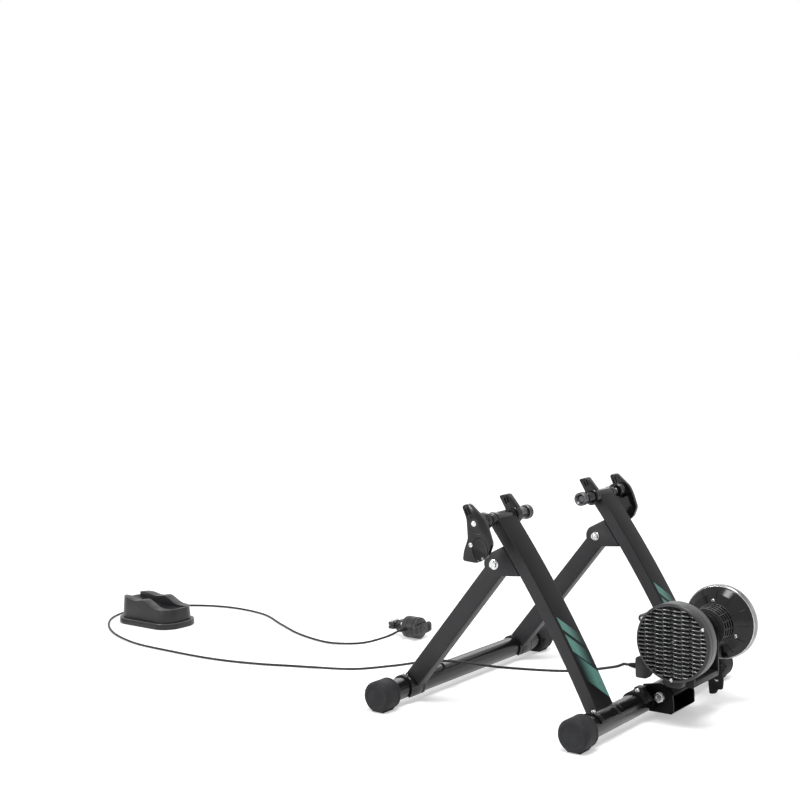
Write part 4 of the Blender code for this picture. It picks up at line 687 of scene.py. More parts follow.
def makeFrontLeg():
    sizes = frontLegSizes
    low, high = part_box("front_leg_left")
    half, ends = sizes["half"], (low.y - sizes["beyond"], high.y + sizes["beyond"])
    down = Vector((frontTube.x - foldBolt.x, frontTube.z - foldBolt.z))
    side = Vector((-down.y, down.x)).normalized() * half
    tilt = math.degrees(math.atan2(down.y, down.x))
    foot = Vector((foldBolt.x, foldBolt.z)) + down * (1 - sizes["short"] / down.length)
    outline = arcOf(foldBolt.x, foldBolt.z, half, tilt + 90, tilt + 270, 25)
    leg = plateShape(outline + [tuple(foot - side), tuple(foot + side)], low.y, high.y)
    roundEdges(leg, sizes["edge"], 4, 50)
    return cutAway(leg, rodShape(foldBolt, *ends, sizes["bolt"]),
                   rodShape(frontTube, *ends, sizes["footClear"], sides=64))


settleSides(makeFrontLeg(), "frontLeg{}", "front_frame", "legSatin", "leg_grey", "front_leg_{}")

# hinge brackets: channels with a round nose, welded down the front of the rear legs
bracketSizes = {
    "nose": (0.022, 128, 290, 28), "above": 0.0172, "below": 0.0448, "plate": 0.003, "edge": 0.0009,
    "channel": (-0.09, 0.12), "open": 0.12,
}


def makeBracket():
    sizes = bracketSizes
    plate, (start, end) = sizes["plate"], sizes["channel"]
    fromCentre = Vector((foldBolt.x, foldBolt.z)) - bowCentre
    bolt = (bowStart - math.atan2(fromCentre.y, fromCentre.x)) * bowRadius
    face = -rearLegSizes["depth"] / 2 - apart

    def alongLeg(first, last, offset):
        return [besideLeg(bolt + first + (last - first) * i / 8, offset) for i in range(9)]

    outline = arcOf(foldBolt.x, foldBolt.z, *sizes["nose"]) + alongLeg(sizes["below"], -sizes["above"], face)
    ahead = face - plate
    channel = alongLeg(start, end, ahead)
    channel += [besideLeg(bolt + place, ahead - sizes["open"]) for place in (end, start)]
    bracket = plateShape(outline, legOuter, legInner)
    cutAway(bracket, plateShape(channel, legOuter + plate, legInner - plate))
    return roundEdges(bracket, sizes["edge"], 2, 40)


settleSides(makeBracket(), "hingeBracket{}", "rear_frame", "legSatin", "leg_grey", "hinge_bracket_{}")

# fasteners: flanged hexagon heads and their nuts, zinc plated
boltSizes = {
    "fold": {"hex": 0.0075, "flange": 0.0095, "nutFlange": 0.0084, "head": 0.0060, "shaft": 0.0040,
        "edge": 0.0006}, "swing": {"hex": 0.0098, "flange": 0.009776, "nutFlange": 0.0104, "shaft": 0.0050,
        "edge": 0.0008},
}
hexShares = {"rim": 0.12, "cone": 0.30, "top": 0.95, "block": 0.2, "inset": 0.13, "crown": 0.06, "edge": 0.05}


def hexHead(at, y, radius, flange, height, facing, bore=0):  # facing -1 looks to the left side
    shares, rise, at = hexShares, facing * height, (at.x, 0, at.z)
    cone = y + rise * shares["cone"]
    head = turnShape([(y, 0), (y, flange), (y + rise * shares["rim"], flange), (cone, radius * shares["top"]),
                      (cone, 0)], at, steps=40)
    block = rodShape(at, *sorted((y + rise * shares["block"], y + rise)), radius, "Y", 6)
    openEdit(block, faces=lambda place, way: way.y * facing > 0.9)  # chamfered outer face
    bpy.ops.mesh.inset(thickness=radius * shares["inset"], depth=0)
    bpy.ops.transform.translate(value=(0, rise * shares["crown"], 0))
    bpy.ops.object.mode_set(mode="OBJECT")
    roundEdges(block, radius * shares["edge"], 2, 20)
    if bore:  # each skin is bored by itself, since they overlap once joined
        ends = sorted((y - facing * 0.01, y + rise + facing * 0.01))
        for skin in (head, block):
            cutAway(skin, rodShape(at, *ends, bore))
    return gather(head, block)


def makeBolt(kind, at, seat, height, end):  # head on its seat, and the plain shaft
    sizes = boltSizes[kind]
    head = hexHead(at, seat, sizes["hex"], sizes["flange"], height, -1)
    return head, roundEdges(rodShape(at, seat, end, sizes["shaft"]), sizes["edge"])


def makeNut(kind, at, node):
    sizes = boltSizes[kind]
    low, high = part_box(node)
    return hexHead(at, low.y, sizes["hex"], sizes["nutFlange"], high.y - low.y, 1, sizes["shaft"] + apart)


bolt = makeBolt("fold", foldBolt, legOuter - apart, boltSizes["fold"]["head"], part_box("pivot_bolt_left")[1].y)
settleSides(gather(*bolt), "foldBolt{}", "rear_frame", "zincPlate", "zinc", "pivot_bolt_{}")
settleSides(makeNut("fold", foldBolt, "pivot_nut_left"), "foldNut{}", "rear_frame", "zincPlate", "zinc",
            "pivot_nut_{}")
for node in ("inner_bush_left", "outer_bush_left", "inner_bush_right", "outer_bush_right"):
    repaint(node, "nylonBush")
print("legs, brackets and fold bolts done")


# axle clamps: tube, screw spindle with its cup, handle with paddle, locking wing; profile rows in mm
clampSizes = {
    "bore": 0.0083, "lip": 0.0006, "steps": 72, "outer": ((0, -1.2), (0.6, -0.6), (1.8, 0), (5.4, 0),
        (5.76, -0.36), (6.48, -0.36), (6.84, 0)), "inner": ((-1.8, 0), (-0.6, -0.6), (0, -1.2)),
    "weld": {"major_segments": 64, "minor_segments": 10, "minor_radius": 0.0011}, "weldOut": 0.0004,
    "weldRise": 0.0001,
}
tubeLow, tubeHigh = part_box("clamp_tube_left")
clampRadius = (tubeHigh.z - tubeLow.z) / 2


def makeClampTube():
    sizes = clampSizes
    bore, lip, big, far, near = sizes["bore"], sizes["lip"], clampRadius, tubeLow.y, tubeHigh.y
    tube = turnShape([(far, bore + lip), *offsets(far, big, *sizes["outer"]), *offsets(near, big, *sizes["inner"]),
                      (near, bore + lip), (near - lip, bore), (far + lip, bore), (far, bore + lip)],
                     axle, steps=sizes["steps"])
    for y in (legOuter - sizes["weldOut"], legInner + sizes["weldOut"]):  # weld beads at the leg
        clearPick()
        bpy.ops.mesh.primitive_torus_add(major_radius=big + sizes["weldRise"], location=(axle.x, y, axle.z),
                                         rotation=(math.pi / 2, 0, 0), **sizes["weld"])
        gather(tube, bpy.context.object)
    return tube


# the thread is trapezoid and made as rings
spindleSizes = {
    "radius": 0.0080, "pitch": 0.0025, "start": 0.0140, "end": 0.004, "tip": 1.2, "steps": 56,
    "thread": ((0, 0), (-0.625, 0), (-1.125, -0.7), (-1.875, -0.7)), "cup": ((-6, 0), (-6, 5.89), (-4.8, 6.65),
        (-0.6, 9.5), (0, 10.3), (0, 12.5), (-0.8, 13.3), (-3, 13.5), (-4.2, 11.9), (-5.6, 11.9), (-6.8, 13.5),
        (-11, 13.5), (-12.2, 12.7), (-12.5, 8.8), (-13.2, 8)),
}


def makeSpindle():
    sizes = spindleSizes
    low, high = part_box("clamp_spindle_left")
    rod, tip = sizes["radius"], sizes["tip"]
    profile = offsets(high.y, 0, *sizes["cup"])
    y = high.y - sizes["start"]
    while y > low.y + sizes["end"]:
        profile += offsets(y, rod, *sizes["thread"])
        y -= sizes["pitch"]
    return turnShape(profile + offsets(low.y, rod, (tip, 0), (0, -tip)) + [(low.y, 0)], axle, steps=sizes["steps"])


def fingerSlots(low, high, sizes):  # long round-ended slots down a finger, beside its middle rib
    tools = []
    lean, (u, v), (wide, long) = math.radians(sizes["slotLean"]), sizes["slotAt"], sizes["slot"]
    for step in (-sizes["slotApart"] / 2, sizes["slotApart"] / 2):
        x, z = axle.x + u + step * math.cos(lean), axle.z + v + step * math.sin(lean)
        slot = blockShape((x - wide / 2, low, z - long / 2), (x + wide / 2, high, z + long / 2),
                          *sizes["slotEdge"])
        tools.append(turnIn(slot, lean, "Y", (x, low, z)))
    return tools


handleSizes = {
    "paddle": 0.106, "outline": [(-0.240, 0.281), (-0.108, 0.3362), (0.176, 0.094), (0.245, -0.038),
        (0.340, -0.321), (0.255, -0.528), (0.047, -0.660), (-0.245, -0.642), (-0.217, -0.472), (-0.132, -0.264),
        (-0.151, 0.075)], "thick": 0.009, "back": 0.030, "corner": 0.005, "edge": 0.00099,
    "slotAt": (-0.0125, 0.0205), "slotApart": 0.0058, "slot": (0.0030, 0.0130), "slotLean": 24,
    "slotEdge": (0.0009, 3), "slotPast": 0.003, "scoop": (0.0120, -0.0470),
    "scoopSize": (0.0165, 0.0066, 0.0225), "scoopLean": -14, "hubOut": ((-4.9, 0), (-4.9, 10.4), (-4.3, 11.2),
        (0, 12), (4, 12.8), (5.2, 15.9), (6.2, 16.5)), "hubIn": ((-10.5, 16.5), (-9.8, 15.6), (-8.6, 15.6),
        (-7.9, 16.5), (-1.2, 16.5), (0, 15.3), (0, 8.3), (-12.5, 8.3), (-12.5, 0)), "flutes": 12,
    "fluteAt": 0.0182, "flute": 0.0026, "fluteEnds": (0.0070, 0.0118), "rib": [(-0.176, 0.290), (-0.150, 0.300),
        (-0.058, 0.100), (-0.082, 0.090)], "ribEnds": (0.0008, 0.0020), "ribEdge": 0.0005,
    "step": [(-0.0125, -0.0100), (-0.0040, -0.0150), (0.0060, -0.0190), (0.0170, -0.0180)], "stepSunk": 0.0005,
    "stepRound": 0.0012,
}
gripLow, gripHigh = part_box("clamp_handle_left_grip")
hubFar = gripHigh.y - handleSizes["back"]
plateOut, plateIn = hubFar - handleSizes["thick"] / 2, hubFar + handleSizes["thick"] / 2


def makeHandle():
    sizes = handleSizes
    size, past = sizes["paddle"], sizes["slotPast"]
    plate = plateShape(sharesOf(sizes["outline"], size, axle.x, axle.z), plateOut, plateIn, corner=sizes["corner"])
    x, z = sizes["scoop"]
    clearPick()
    bpy.ops.mesh.primitive_uv_sphere_add(segments=48, ring_count=24, radius=1, scale=sizes["scoopSize"],
                                         location=(axle.x + x, plateOut, axle.z + z),
                                         rotation=(0, math.radians(sizes["scoopLean"]), 0))
    cutAway(plate, baked())
    cutAway(plate, *fingerSlots(plateOut - past, plateIn + past, sizes))
    roundEdges(plate, sizes["edge"], 2, 34)
    # hub with a stepped skirt, bored for the spindle from the wheel side
    hub = turnShape(offsets(hubFar, 0, *sizes["hubOut"]) + offsets(gripHigh.y, 0, *sizes["hubIn"]), axle)
    flutes = []
    start, end = sizes["fluteEnds"]
    for i in range(sizes["flutes"]):  # grip flutes round the hub
        turn = math.tau * (i + 0.5) / sizes["flutes"]
        at = (axle.x + sizes["fluteAt"] * math.cos(turn), 0, axle.z + sizes["fluteAt"] * math.sin(turn))
        flutes.append(rodShape(at, hubFar + start, gripHigh.y - end, sizes["flute"], sides=16))
    cutAway(hub, *flutes)
    # a raised rib down the finger between its slots
    proud, sunk = sizes["ribEnds"]
    rib = plateShape(sharesOf(sizes["rib"], size, axle.x, axle.z), plateOut - proud, plateOut + sunk,
                     edge=sizes["ribEdge"])
    step = beadAlong([(axle.x + x, plateOut + sizes["stepSunk"], axle.z + z) for x, z in sizes["step"]],
                     sizes["stepRound"])
    return gather(plate, hub, rib, step)


handleScrewSizes = {
    "steps": 40, "plate": ((2, 0), (2, 5.2), (-1.2, 5.2)), "face": ((0.5, 4.2), (0, 3), (0, 0)),
    "slot": (0.006, 0.0006, 0.0011), "lowAt": (-0.0080, -0.0385), "low": ((2, 0), (2, 4.2), (-0.6, 4.2),
        (-1.4, 3.4), (-1.8, 2), (-1.8, 0)), "socket": (0.004, 0.0004, 0.0017),
}


def makeHandleScrews():
    sizes = handleScrewSizes
    first = turnShape(offsets(plateOut, 0, *sizes["plate"]) + offsets(gripLow.y, 0, *sizes["face"]), axle,
                      steps=sizes["steps"])
    long, wide, deep = sizes["slot"]
    cutAway(first, blockShape((axle.x - long, gripLow.y - 1 * mm, axle.z - wide),
                              (axle.x + long, gripLow.y + deep, axle.z + wide)))
    x, z = sizes["lowAt"]
    at = (axle.x + x, 0, axle.z + z)
    start, end, radius = sizes["socket"]
    second = turnShape(offsets(plateOut, 0, *sizes["low"]), at, steps=sizes["steps"])
    cutAway(second, rodShape(at, plateOut - start, plateOut - end, radius, sides=6))
    return gather(first, second)


wingSizes = {
    "size": 0.040, "outline": [(-0.6625, 0.795), (-0.640, 0.865), (-0.230, 0.973), (-0.150, 0.942),
        (0.300, 0.400), (0.300, 0.050), (-0.250, 0.050), (-0.400, 0.350)], "inset": 0.07, "edge": 0.0016,
    "bore": 0.0150, "ring": 0.0170, "steps": 72, "far": ((0, -1.8), (1.8, 0), (5, 0), (5.6, -0.6), (6.8, -0.6),
        (7.4, 0)), "near": ((-1.8, 0), (0, -1.8)), "mouth": (0, 0.8), "nearBore": ((0, 0.8), (-0.5, 0.3)),
    "farBore": ((0.5, 0.3), (0, 0.8)), "slotAt": (-0.0105, 0.0265), "slotApart": 0.0056,
    "slot": (0.0030, 0.0120), "slotLean": 24, "slotEdge": (0.0009, 3), "slotPast": 0.003,
}


def makeWing():
    sizes = wingSizes
    low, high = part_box("lock_wing_left_finger")
    inset, past = (high.y - low.y) * sizes["inset"], sizes["slotPast"]
    finger = plateShape(sharesOf(sizes["outline"], sizes["size"], axle.x, axle.z), low.y + inset, high.y - inset,
                        edge=sizes["edge"], segments=3)
    cutAway(finger, rodShape(axle, low.y - 2 * mm, high.y + 2 * mm, sizes["bore"], sides=64),
            *fingerSlots(low.y - past, high.y + past, sizes))
    ring = turnShape([*offsets(low.y, clampRadius, sizes["mouth"]), *offsets(low.y, sizes["ring"], *sizes["far"]),
                      *offsets(high.y, sizes["ring"], *sizes["near"]),
                      *offsets(high.y, clampRadius, *sizes["nearBore"]),
                      *offsets(low.y, clampRadius, *sizes["farBore"])], axle, steps=sizes["steps"])
    return gather(finger, ring)


settleSides(makeClampTube(), "clampTube{}", "rear_frame", "tubeGloss", "tube_black", "clamp_tube_{}")
settleSides(makeSpindle(), "spindle{}", "clamp_slide_{}", "spindleSteel", "spindle_steel", "clamp_spindle_{}")
settleSides(makeHandle(), "handle{}", "clamp_handle_{}", "handleGloss", "gloss_black", "clamp_handle_{}_grip")
settleSides(makeWing(), "wing{}", "lock_wing_{}", "handleGloss", "gloss_black", "lock_wing_{}_finger")
settleSides(makeHandleScrews(), "handleScrews{}", "clamp_handle_{}", "zincPlate", "zinc")
print("axle clamps done")


# resistance unit: drum housing with its tab, foot and lug; profile rows in mm
drumSizes = {
    "steps": 128, "wall": 0.0025, "mouth": ((0, -2.5), (0, -0.6), (0.6, 0), (9, 0), (9.4, -0.5), (10.4, -0.5),
        (10.8, -0.1)), "shoulder": ((-3, -0.8), (-1.05, -1.7), (0, -3.3)), "back": ((0, 30), (0, 16.5),
        (-0.4, 6.8), (-2.5, 6.8)), "inside": ((-2.5, -4), (-4, -2.5)), "tab": 0.043, "tabX": 0.2060,
    "tabEnds": (0.0166, 0.0006), "tabCorner": 0.0040, "tabEdge": 0.0016, "tabOutline": [(-0.093, -0.442),
        (0.419, -0.442), (0.791, 0.093), (0.465, 0.558), (-0.093, 0.419)], "foot": 0.083,
    "footEnds": (0.0215, 0.0008), "footCorner": 0.0055, "footEdge": 0.0014, "footOutline": [(-0.361, -0.542),
        (-0.265, -1.000), (0.120, -1.000), (0.313, -0.542)], "pocketAt": (-0.0060, -0.0730),
    "pocketEnds": (0.0260, 0.0195), "pocket": 0.0062, "lugAt": (0.0722, 151), "lugSeat": 0.0052,
    "lugFront": ((0, 0), (0, 5.8), (1, 7.5)), "lugBack": ((-4, 7.5), (-2.6, 6.2), (-2.6, 0)),
    "rib": (0.0011, 0.0010, 0.0175, 0.0052, 0.0004),
}
drumLow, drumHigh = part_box("drum_housing")
drumRadius = drumHigh.x - unit.x


def aroundUnit(radius, angle):
    a = math.radians(angle)
    return unit.x + radius * math.cos(a), unit.z + radius * math.sin(a)


def spinCopies(piece, count):  # the modelled one repeated round the unit's axis
    openEdit(piece)
    bpy.ops.mesh.spin(steps=count - 1, dupli=True, angle=math.tau * (count - 1) / count,
                      center=unit, axis=(0, 1, 0))
    bpy.ops.object.mode_set(mode="OBJECT")
    return piece


def makeDrum():
    sizes = drumSizes
    mouth, back, big = drumLow.y, drumHigh.y, drumRadius
    drum = turnShape([*offsets(mouth, big, *sizes["mouth"]), *offsets(back, big, *sizes["shoulder"]),
                      *offsets(back, 0, *sizes["back"]), *offsets(back, big, *sizes["inside"]),
                      (mouth, big - sizes["wall"])], unit, steps=sizes["steps"])
    start, end = sizes["tabEnds"]
    tab = plateShape(sharesOf(sizes["tabOutline"], sizes["tab"], axle.x + sizes["tabX"], middle("outlet_boot").z),
                     back - start, back - end, corner=sizes["tabCorner"], edge=sizes["tabEdge"], segments=3)
    start, end = sizes["footEnds"]
    foot = plateShape(sharesOf(sizes["footOutline"], sizes["foot"], unit.x, unit.z), back - start, back - end,
                      corner=sizes["footCorner"])
    (x, z), (start, end) = sizes["pocketAt"], sizes["pocketEnds"]
    cutAway(foot, rodShape((unit.x + x, 0, unit.z + z), back - start, back - end, sizes["pocket"], sides=40))
    roundEdges(foot, sizes["footEdge"], 3, 40)
    x, z = aroundUnit(*sizes["lugAt"])
    lug = turnShape(offsets(mouth + sizes["lugSeat"], 0, *sizes["lugFront"]) + offsets(back, 0, *sizes["lugBack"]),
                    (x, 0, z), steps=40)
    half, proud, inner, short, edge = sizes["rib"]
    rib = blockShape((unit.x - half, back - proud, unit.z + inner),
                     (unit.x + half, back, unit.z + big - short), edge)
    return gather(drum, tab, foot, lug, rib)


# louvred cover: round rim, slanting blades in short stepped lengths, upright bars behind them
coverSizes = {
    "field": 0.0648, "rim": ((0, -0.4), (-0.4, 0), (-2.2, 0), (-3.4, -0.7), (-4.6, -2.2), (-5.4, -4)),
    "lip": ((-5.7, 66), (-5.6, 65.1), (-5, 64.8)), "steps": 128, "pitch": 0.0073, "blade": 0.0023,
    "cell": 0.0355, "gap": 0.0026, "overlap": 0.0001, "step": 0.0008, "lift": 0.0021, "depth": 0.0056,
    "inner": 0.8, "round": 0.28, "behind": 0.0062, "link": (0.0006, 0.0034, 0.0010), "keep": 0.0004,
    "keepPast": 0.01, "bar": (0.0016, 0.0030, 0.0006, 0.0005), "screwAngles": (28, 268),
    "screwCircle": drumRadius - 0.0042, "boss": ((-1, 0), (-1, 4.8), (-5.2, 4.2), (-5.9, 3.6), (-5.9, 0)),
    "bossHigh": 0.0059,
}
coverLow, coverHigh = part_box("louvred_cover")


def makeCover():
    sizes = coverSizes
    seat, field, cell, pitch = coverHigh.y, sizes["field"], sizes["cell"], sizes["pitch"]
    ring = turnShape([(seat, field), *offsets(seat, drumRadius, *sizes["rim"]), *offsets(seat, 0, *sizes["lip"]),
                      (seat, field)], unit, steps=sizes["steps"])
    gap, thick, depth, lap, lift = (sizes[key] for key in ("gap", "blade", "depth", "overlap", "lift"))
    past, front, thin = sizes["link"]  # a link joins two cells
    columns, rows = 2 * math.ceil(field / cell), 2 * int(field / pitch) + 1
    beyond = sizes["keepPast"]
    keep = rodShape(unit, coverLow.y - beyond, seat + beyond, field + sizes["keep"], sides=96)
    blades = []
    for first, last, start, tall, shift in (
            (gap, cell / 2 - lap, 0, thick, 0), (cell / 2 + lap, cell - gap, 0, thick, sizes["step"]),
            (-gap - past, gap + past, front, thin, 0)):
        blade = blockShape((first, start, -tall / 2), (last, depth, tall / 2), tall * sizes["round"])
        # the inner edge is lifted, so the blade slants
        moveIn(blade, (0, 0, lift), lambda place: place.y > depth * sizes["inner"])
        for count, move in ((columns, (cell, 0, 0)), (rows, (0, 0, pitch))):
            apply(blade, "ARRAY", count=count, use_relative_offset=False, use_constant_offset=True,
                  constant_offset_displace=move)
        moveIn(blade, (unit.x - columns / 2 * cell, seat - sizes["behind"],
                       unit.z + shift - lift / 2 - (rows - 1) / 2 * pitch))
        blades.append(apply(blade, "BOOLEAN", operation="INTERSECT", solver="EXACT", object=keep))
    bpy.data.objects.remove(keep)
    bars = []
    half, start, end, edge = sizes["bar"]
    for i in range(-2, 2):
        x = (i + 0.5) * cell
        reach = math.sqrt(field ** 2 - x ** 2)
        bars.append(blockShape((unit.x + x - half, seat - start, unit.z - reach),
                               (unit.x + x + half, seat - end, unit.z + reach), edge))
    for angle in sizes["screwAngles"]:  # bosses under the screws
        x, z = aroundUnit(sizes["screwCircle"], angle)
        bars.append(turnShape(offsets(seat, 0, *sizes["boss"]), (x, 0, z), steps=32))
    return gather(ring, *bars), gather(*blades)


coverScrewSizes = {
    "head": ((1.5, 0), (1.5, 3), (-0.2, 3), (-0.9, 2.3), (-1.2, 1.2), (-1.2, 0)), "steps": 28,
    "cross": (0.0020, 0.00035), "crossEnds": (0.003, 0.0006),
}


def makeCoverScrews():
    sizes = coverScrewSizes
    places = [(*aroundUnit(coverSizes["screwCircle"], angle), coverHigh.y - coverSizes["bossHigh"])
              for angle in coverSizes["screwAngles"]]
    places.append((*aroundUnit(*drumSizes["lugAt"]), drumLow.y + drumSizes["lugSeat"]))
    screws = []
    (long, wide), (start, end) = sizes["cross"], sizes["crossEnds"]
    for x, z, y in places:
        screw = turnShape(offsets(y, 0, *sizes["head"]), (x, 0, z), steps=sizes["steps"])
        for u, v in ((long, wide), (wide, long)):
            cutAway(screw, blockShape((x - u, y - start, z - v), (x + u, y - end, z + v)))
        screws.append(screw)
    return gather(*screws)


settle(makeDrum(), "drum", "swing_unit", "drumPlastic", "drum_plastic", "drum_housing")
cover, blades = makeCover()
settle(cover, "louvredCover", "swing_unit", "drumPlastic", "drum_plastic", "louvred_cover")
# the blades carry a lighter copy of the drum's plastic, as painted highlight
settle(blades, "louvreBlades", "swing_unit", "bladeGlossPaintedHighlight", "drum_plastic", "louvred_cover")
settle(makeCoverScrews(), "coverScrews", "swing_unit", "zincPlate", "zinc")
print("drum and cover done")


# cast yoke: two bearing plates, the bridge under the roller, the pivot lug and the lever's ear
yokeSizes = {
    "plate": 0.0045, "right": 0.0532, "boss": (0.0260, -12, 192, 30), "top": 0.0800, "bridge": 0.0120,
    "back": 0.0297, "front": 0.0243, "shaft": 0.0068, "cheekEdge": 0.0011, "seat": ((-1, 17.5), (0, 17.2),
        (1.6, 16.2), (2, 15)), "seatEnds": (0.001, 0.002), "waist": ((1, 18), (0, 0)), "chin": ((1.5, 1.5),
        (3, 0)), "jaw": ((-3, 0), (-1.5, 1.5)), "brow": ((0, 0), (-0.5, 18)), "bridgeInset": 0.001,
    "bridgeLift": 0.0004, "bridgeEdge": (0.0022, 3), "webs": (-0.018, 0.002, 0.022), "web": 0.0032,
    "webEdge": 0.0009, "webFoot": ((6, -2),), "webFront": ((-6, -2), (-12, 4.5)), "webBack": ((12, 4.5),),
    "lugFront": ((10, 3), (12, 6)), "lugTop": ((2, -2),), "lugBack": ((-4, 6),), "past": 0.01,
    "lugEnds": (-0.0358, 0.0443), "lug": (0.0112, 120, 305, 16), "lugBore": 0.0054, "lugEdge": 0.0012,
    "windowEnds": (-0.0180, 0.0260), "window": (0.03, 0.0125, 0.0135), "ear": ((2, 11), (4.5, 9.8), (9.7, 9),
        (10.5, 8.2)), "earBore": ((10.5, 4.3), (2, 4.3)),
}


def makeYoke():
    sizes = yokeSizes
    left, right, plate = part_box("unit_yoke")[0].y, sizes["right"], sizes["plate"]
    top, shaft, past = sizes["top"], sizes["shaft"], sizes["past"]
    bottom, back, front = top - sizes["bridge"], unit.x - sizes["back"], unit.x + sizes["front"]
    pieces = []
    outline = [*arcOf(unit.x, unit.z, *sizes["boss"]), *offsets(back, top, *sizes["waist"]),
               *offsets(back, bottom, *sizes["chin"]), *offsets(front, bottom, *sizes["jaw"]),
               *offsets(front, top, *sizes["brow"])]
    for y, inside, way in ((left, left + plate, 1), (right, right, -1)):
        cheek = plateShape(outline, y, y + plate)
        cutAway(cheek, rodShape(unit, y - past, y + 2 * past, shaft))
        pieces.append(roundEdges(cheek, sizes["cheekEdge"], 3, 34))
        sunk, proud = sizes["seatEnds"]  # a raised boss on the side of the roller
        seat = [(inside - way * sunk, shaft), *((inside + way * a * mm, r * mm) for a, r in sizes["seat"]),
                (inside + way * proud, shaft), (inside - way * sunk, shaft)]
        pieces.append(turnShape(seat, unit, steps=56))
    inset = sizes["bridgeInset"]
    bridge = blockShape((back + inset, left + inset, bottom + sizes["bridgeLift"]),
                        (front - inset, right + plate - inset, top), *sizes["bridgeEdge"])
    outline = [*offsets(back, top, *sizes["webFoot"]), *offsets(front, top, *sizes["webFront"]),
               *offsets(back, top, *sizes["webBack"])]
    for y in sizes["webs"]:  # stiffening webs on the bridge
        pieces.append(plateShape(outline, y, y + sizes["web"], edge=sizes["webEdge"]))
    start, end = sizes["lugEnds"]
    lug = plateShape([*arcOf(swingBolt.x, swingBolt.z, *sizes["lug"]),
                      *offsets(unit.x, bottom, *sizes["lugFront"]), *offsets(back, top, *sizes["lugTop"]),
                      *offsets(back, bottom, *sizes["lugBack"])], start, end)
    (near, far), (wide, ahead, above) = sizes["windowEnds"], sizes["window"]
    cutAway(lug, rodShape(swingBolt, start - past, end + past, sizes["lugBore"]),
            blockShape((swingBolt.x - wide, near, swingBolt.z - wide),
                       (swingBolt.x + ahead, far, swingBolt.z + above)))
    roundEdges(lug, sizes["lugEdge"], 3, 40)
    bore = offsets(right, 0, *sizes["earBore"])
    ear = turnShape([bore[-1], *offsets(right, 0, *sizes["ear"]), *bore], leverPin, steps=48)
    return gather(bridge, *pieces, lug, ear)


settle(makeYoke(), "castYoke", "swing_unit", "castBlack", "cast_black", "unit_yoke")

# windowed cage: hoops joined by ribs that flare with the cone
cageSizes = {
    "start": 0.0580, "end": 0.0912, "small": 0.0352, "large": 0.0400, "wall": 0.0020, "half": 0.00105,
    "plate": ((0, 6.8), (0, 33.8), (1.2, 34.8), (3, 34.6), (3, 16), (3.6, 15), (8.8, 14.2), (8.8, 11.3),
        (1.6, 11.3), (1.6, 6.8), (0, 6.8)), "hoops": (0.0588, 0.0664, 0.0740, 0.0816, 0.0896),
    "hoopNear": ((0, -2), (0, -0.4), (0.4, 0)), "hoopFar": ((-0.4, 0.2), (0, -0.2), (0, -2)), "ribs": 16,
    "rib": 0.00105, "ribEnd": 0.0006, "ribSunk": 0.0001, "ribEdge": 0.0005, "ribFlare": 0.075,
}


def makeCage():
    sizes = cageSizes
    start, end, small, large, half = (sizes[key] for key in ("start", "end", "small", "large", "half"))
    cage = turnShape(offsets(start, 0, *sizes["plate"]), unit, steps=72)  # bearing plate
    hoops = []
    for y in sizes["hoops"]:
        outer = small + (large - small) * ((y - start) / (end - start))
        hoop = offsets(y - half, outer, *sizes["hoopNear"]) + offsets(y + half, outer, *sizes["hoopFar"])
        hoops.append(turnShape(hoop + hoop[:1], unit, steps=96))
    rib = blockShape((unit.x - sizes["rib"], start, unit.z + small - sizes["wall"]),
                     (unit.x + sizes["rib"], end - sizes["ribEnd"], unit.z + small - sizes["ribSunk"]),
                     sizes["ribEdge"])
    moveIn(rib, (0, 0, large - small), lambda place: place.y > sizes["ribFlare"])
    return gather(cage, *hoops, spinCopies(rib, sizes["ribs"]))


settle(makeCage(), "cage", "swing_unit", "drumPlastic", "drum_plastic", "slotted_cage")


# turning parts: axle, roller, dish and flywheel; profile rows in mm
axleSizes = {
    "rod": 0.0040, "end": 0.8, "bare": 0.0055, "pitch": 0.0006, "thread": ((0.3, -0.5), (0.6, 0)),
    "far": ((0, -1),), "washer": ((0, 4), (0, 10.4), (1, 10.4), (1.3, 10.1), (1.3, 4), (0, 4)), "nut": 0.0085,
    "nutEnds": (0.0010, 0.0050), "nutEdge": 0.0006,
}
wheelLow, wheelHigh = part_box("flywheel")


def makeAxle():
    sizes = axleSizes
    low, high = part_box("unit_axle")
    rod = sizes["rod"]
    y = wheelHigh.y + sizes["bare"]
    profile = [(low.y, 0), *offsets(low.y, rod, (0, -sizes["end"]), (sizes["end"], 0)), (y, rod)]
    while y < high.y - 1 * mm:
        profile += offsets(y, rod, *sizes["thread"])
        y += sizes["pitch"]
    axleRod = turnShape(profile + offsets(high.y, rod, *sizes["far"]) + [(high.y, 0)], unit, steps=40)
    seat, (start, end) = wheelHigh.y + apart, sizes["nutEnds"]
    washer = turnShape(offsets(seat, 0, *sizes["washer"]), unit, steps=48)
    nut = roundEdges(rodShape(unit, seat + start, seat + end, sizes["nut"], "Y", 6), sizes["nutEdge"], 2, 20)
    return gather(axleRod, washer, nut)


rollerSizes = {
    "groove": 1.2, "grooveAt": 0.010, "bore": 0.0043, "steps": 96, "near": ((0, 13), (1.2, 13.8)),
    "nearRim": ((1.2, -4), (0, -3.4), (0, -1.2), (1.2, 0)), "cut": ((-1.2, 0), (-0.48, -1.2), (0.48, -1.2),
        (1.2, 0)), "farRim": ((-1.2, 0), (0, -1.2), (0, -3.4), (-1.2, -4)), "far": ((-1.2, 13.8), (0, 13)),
}


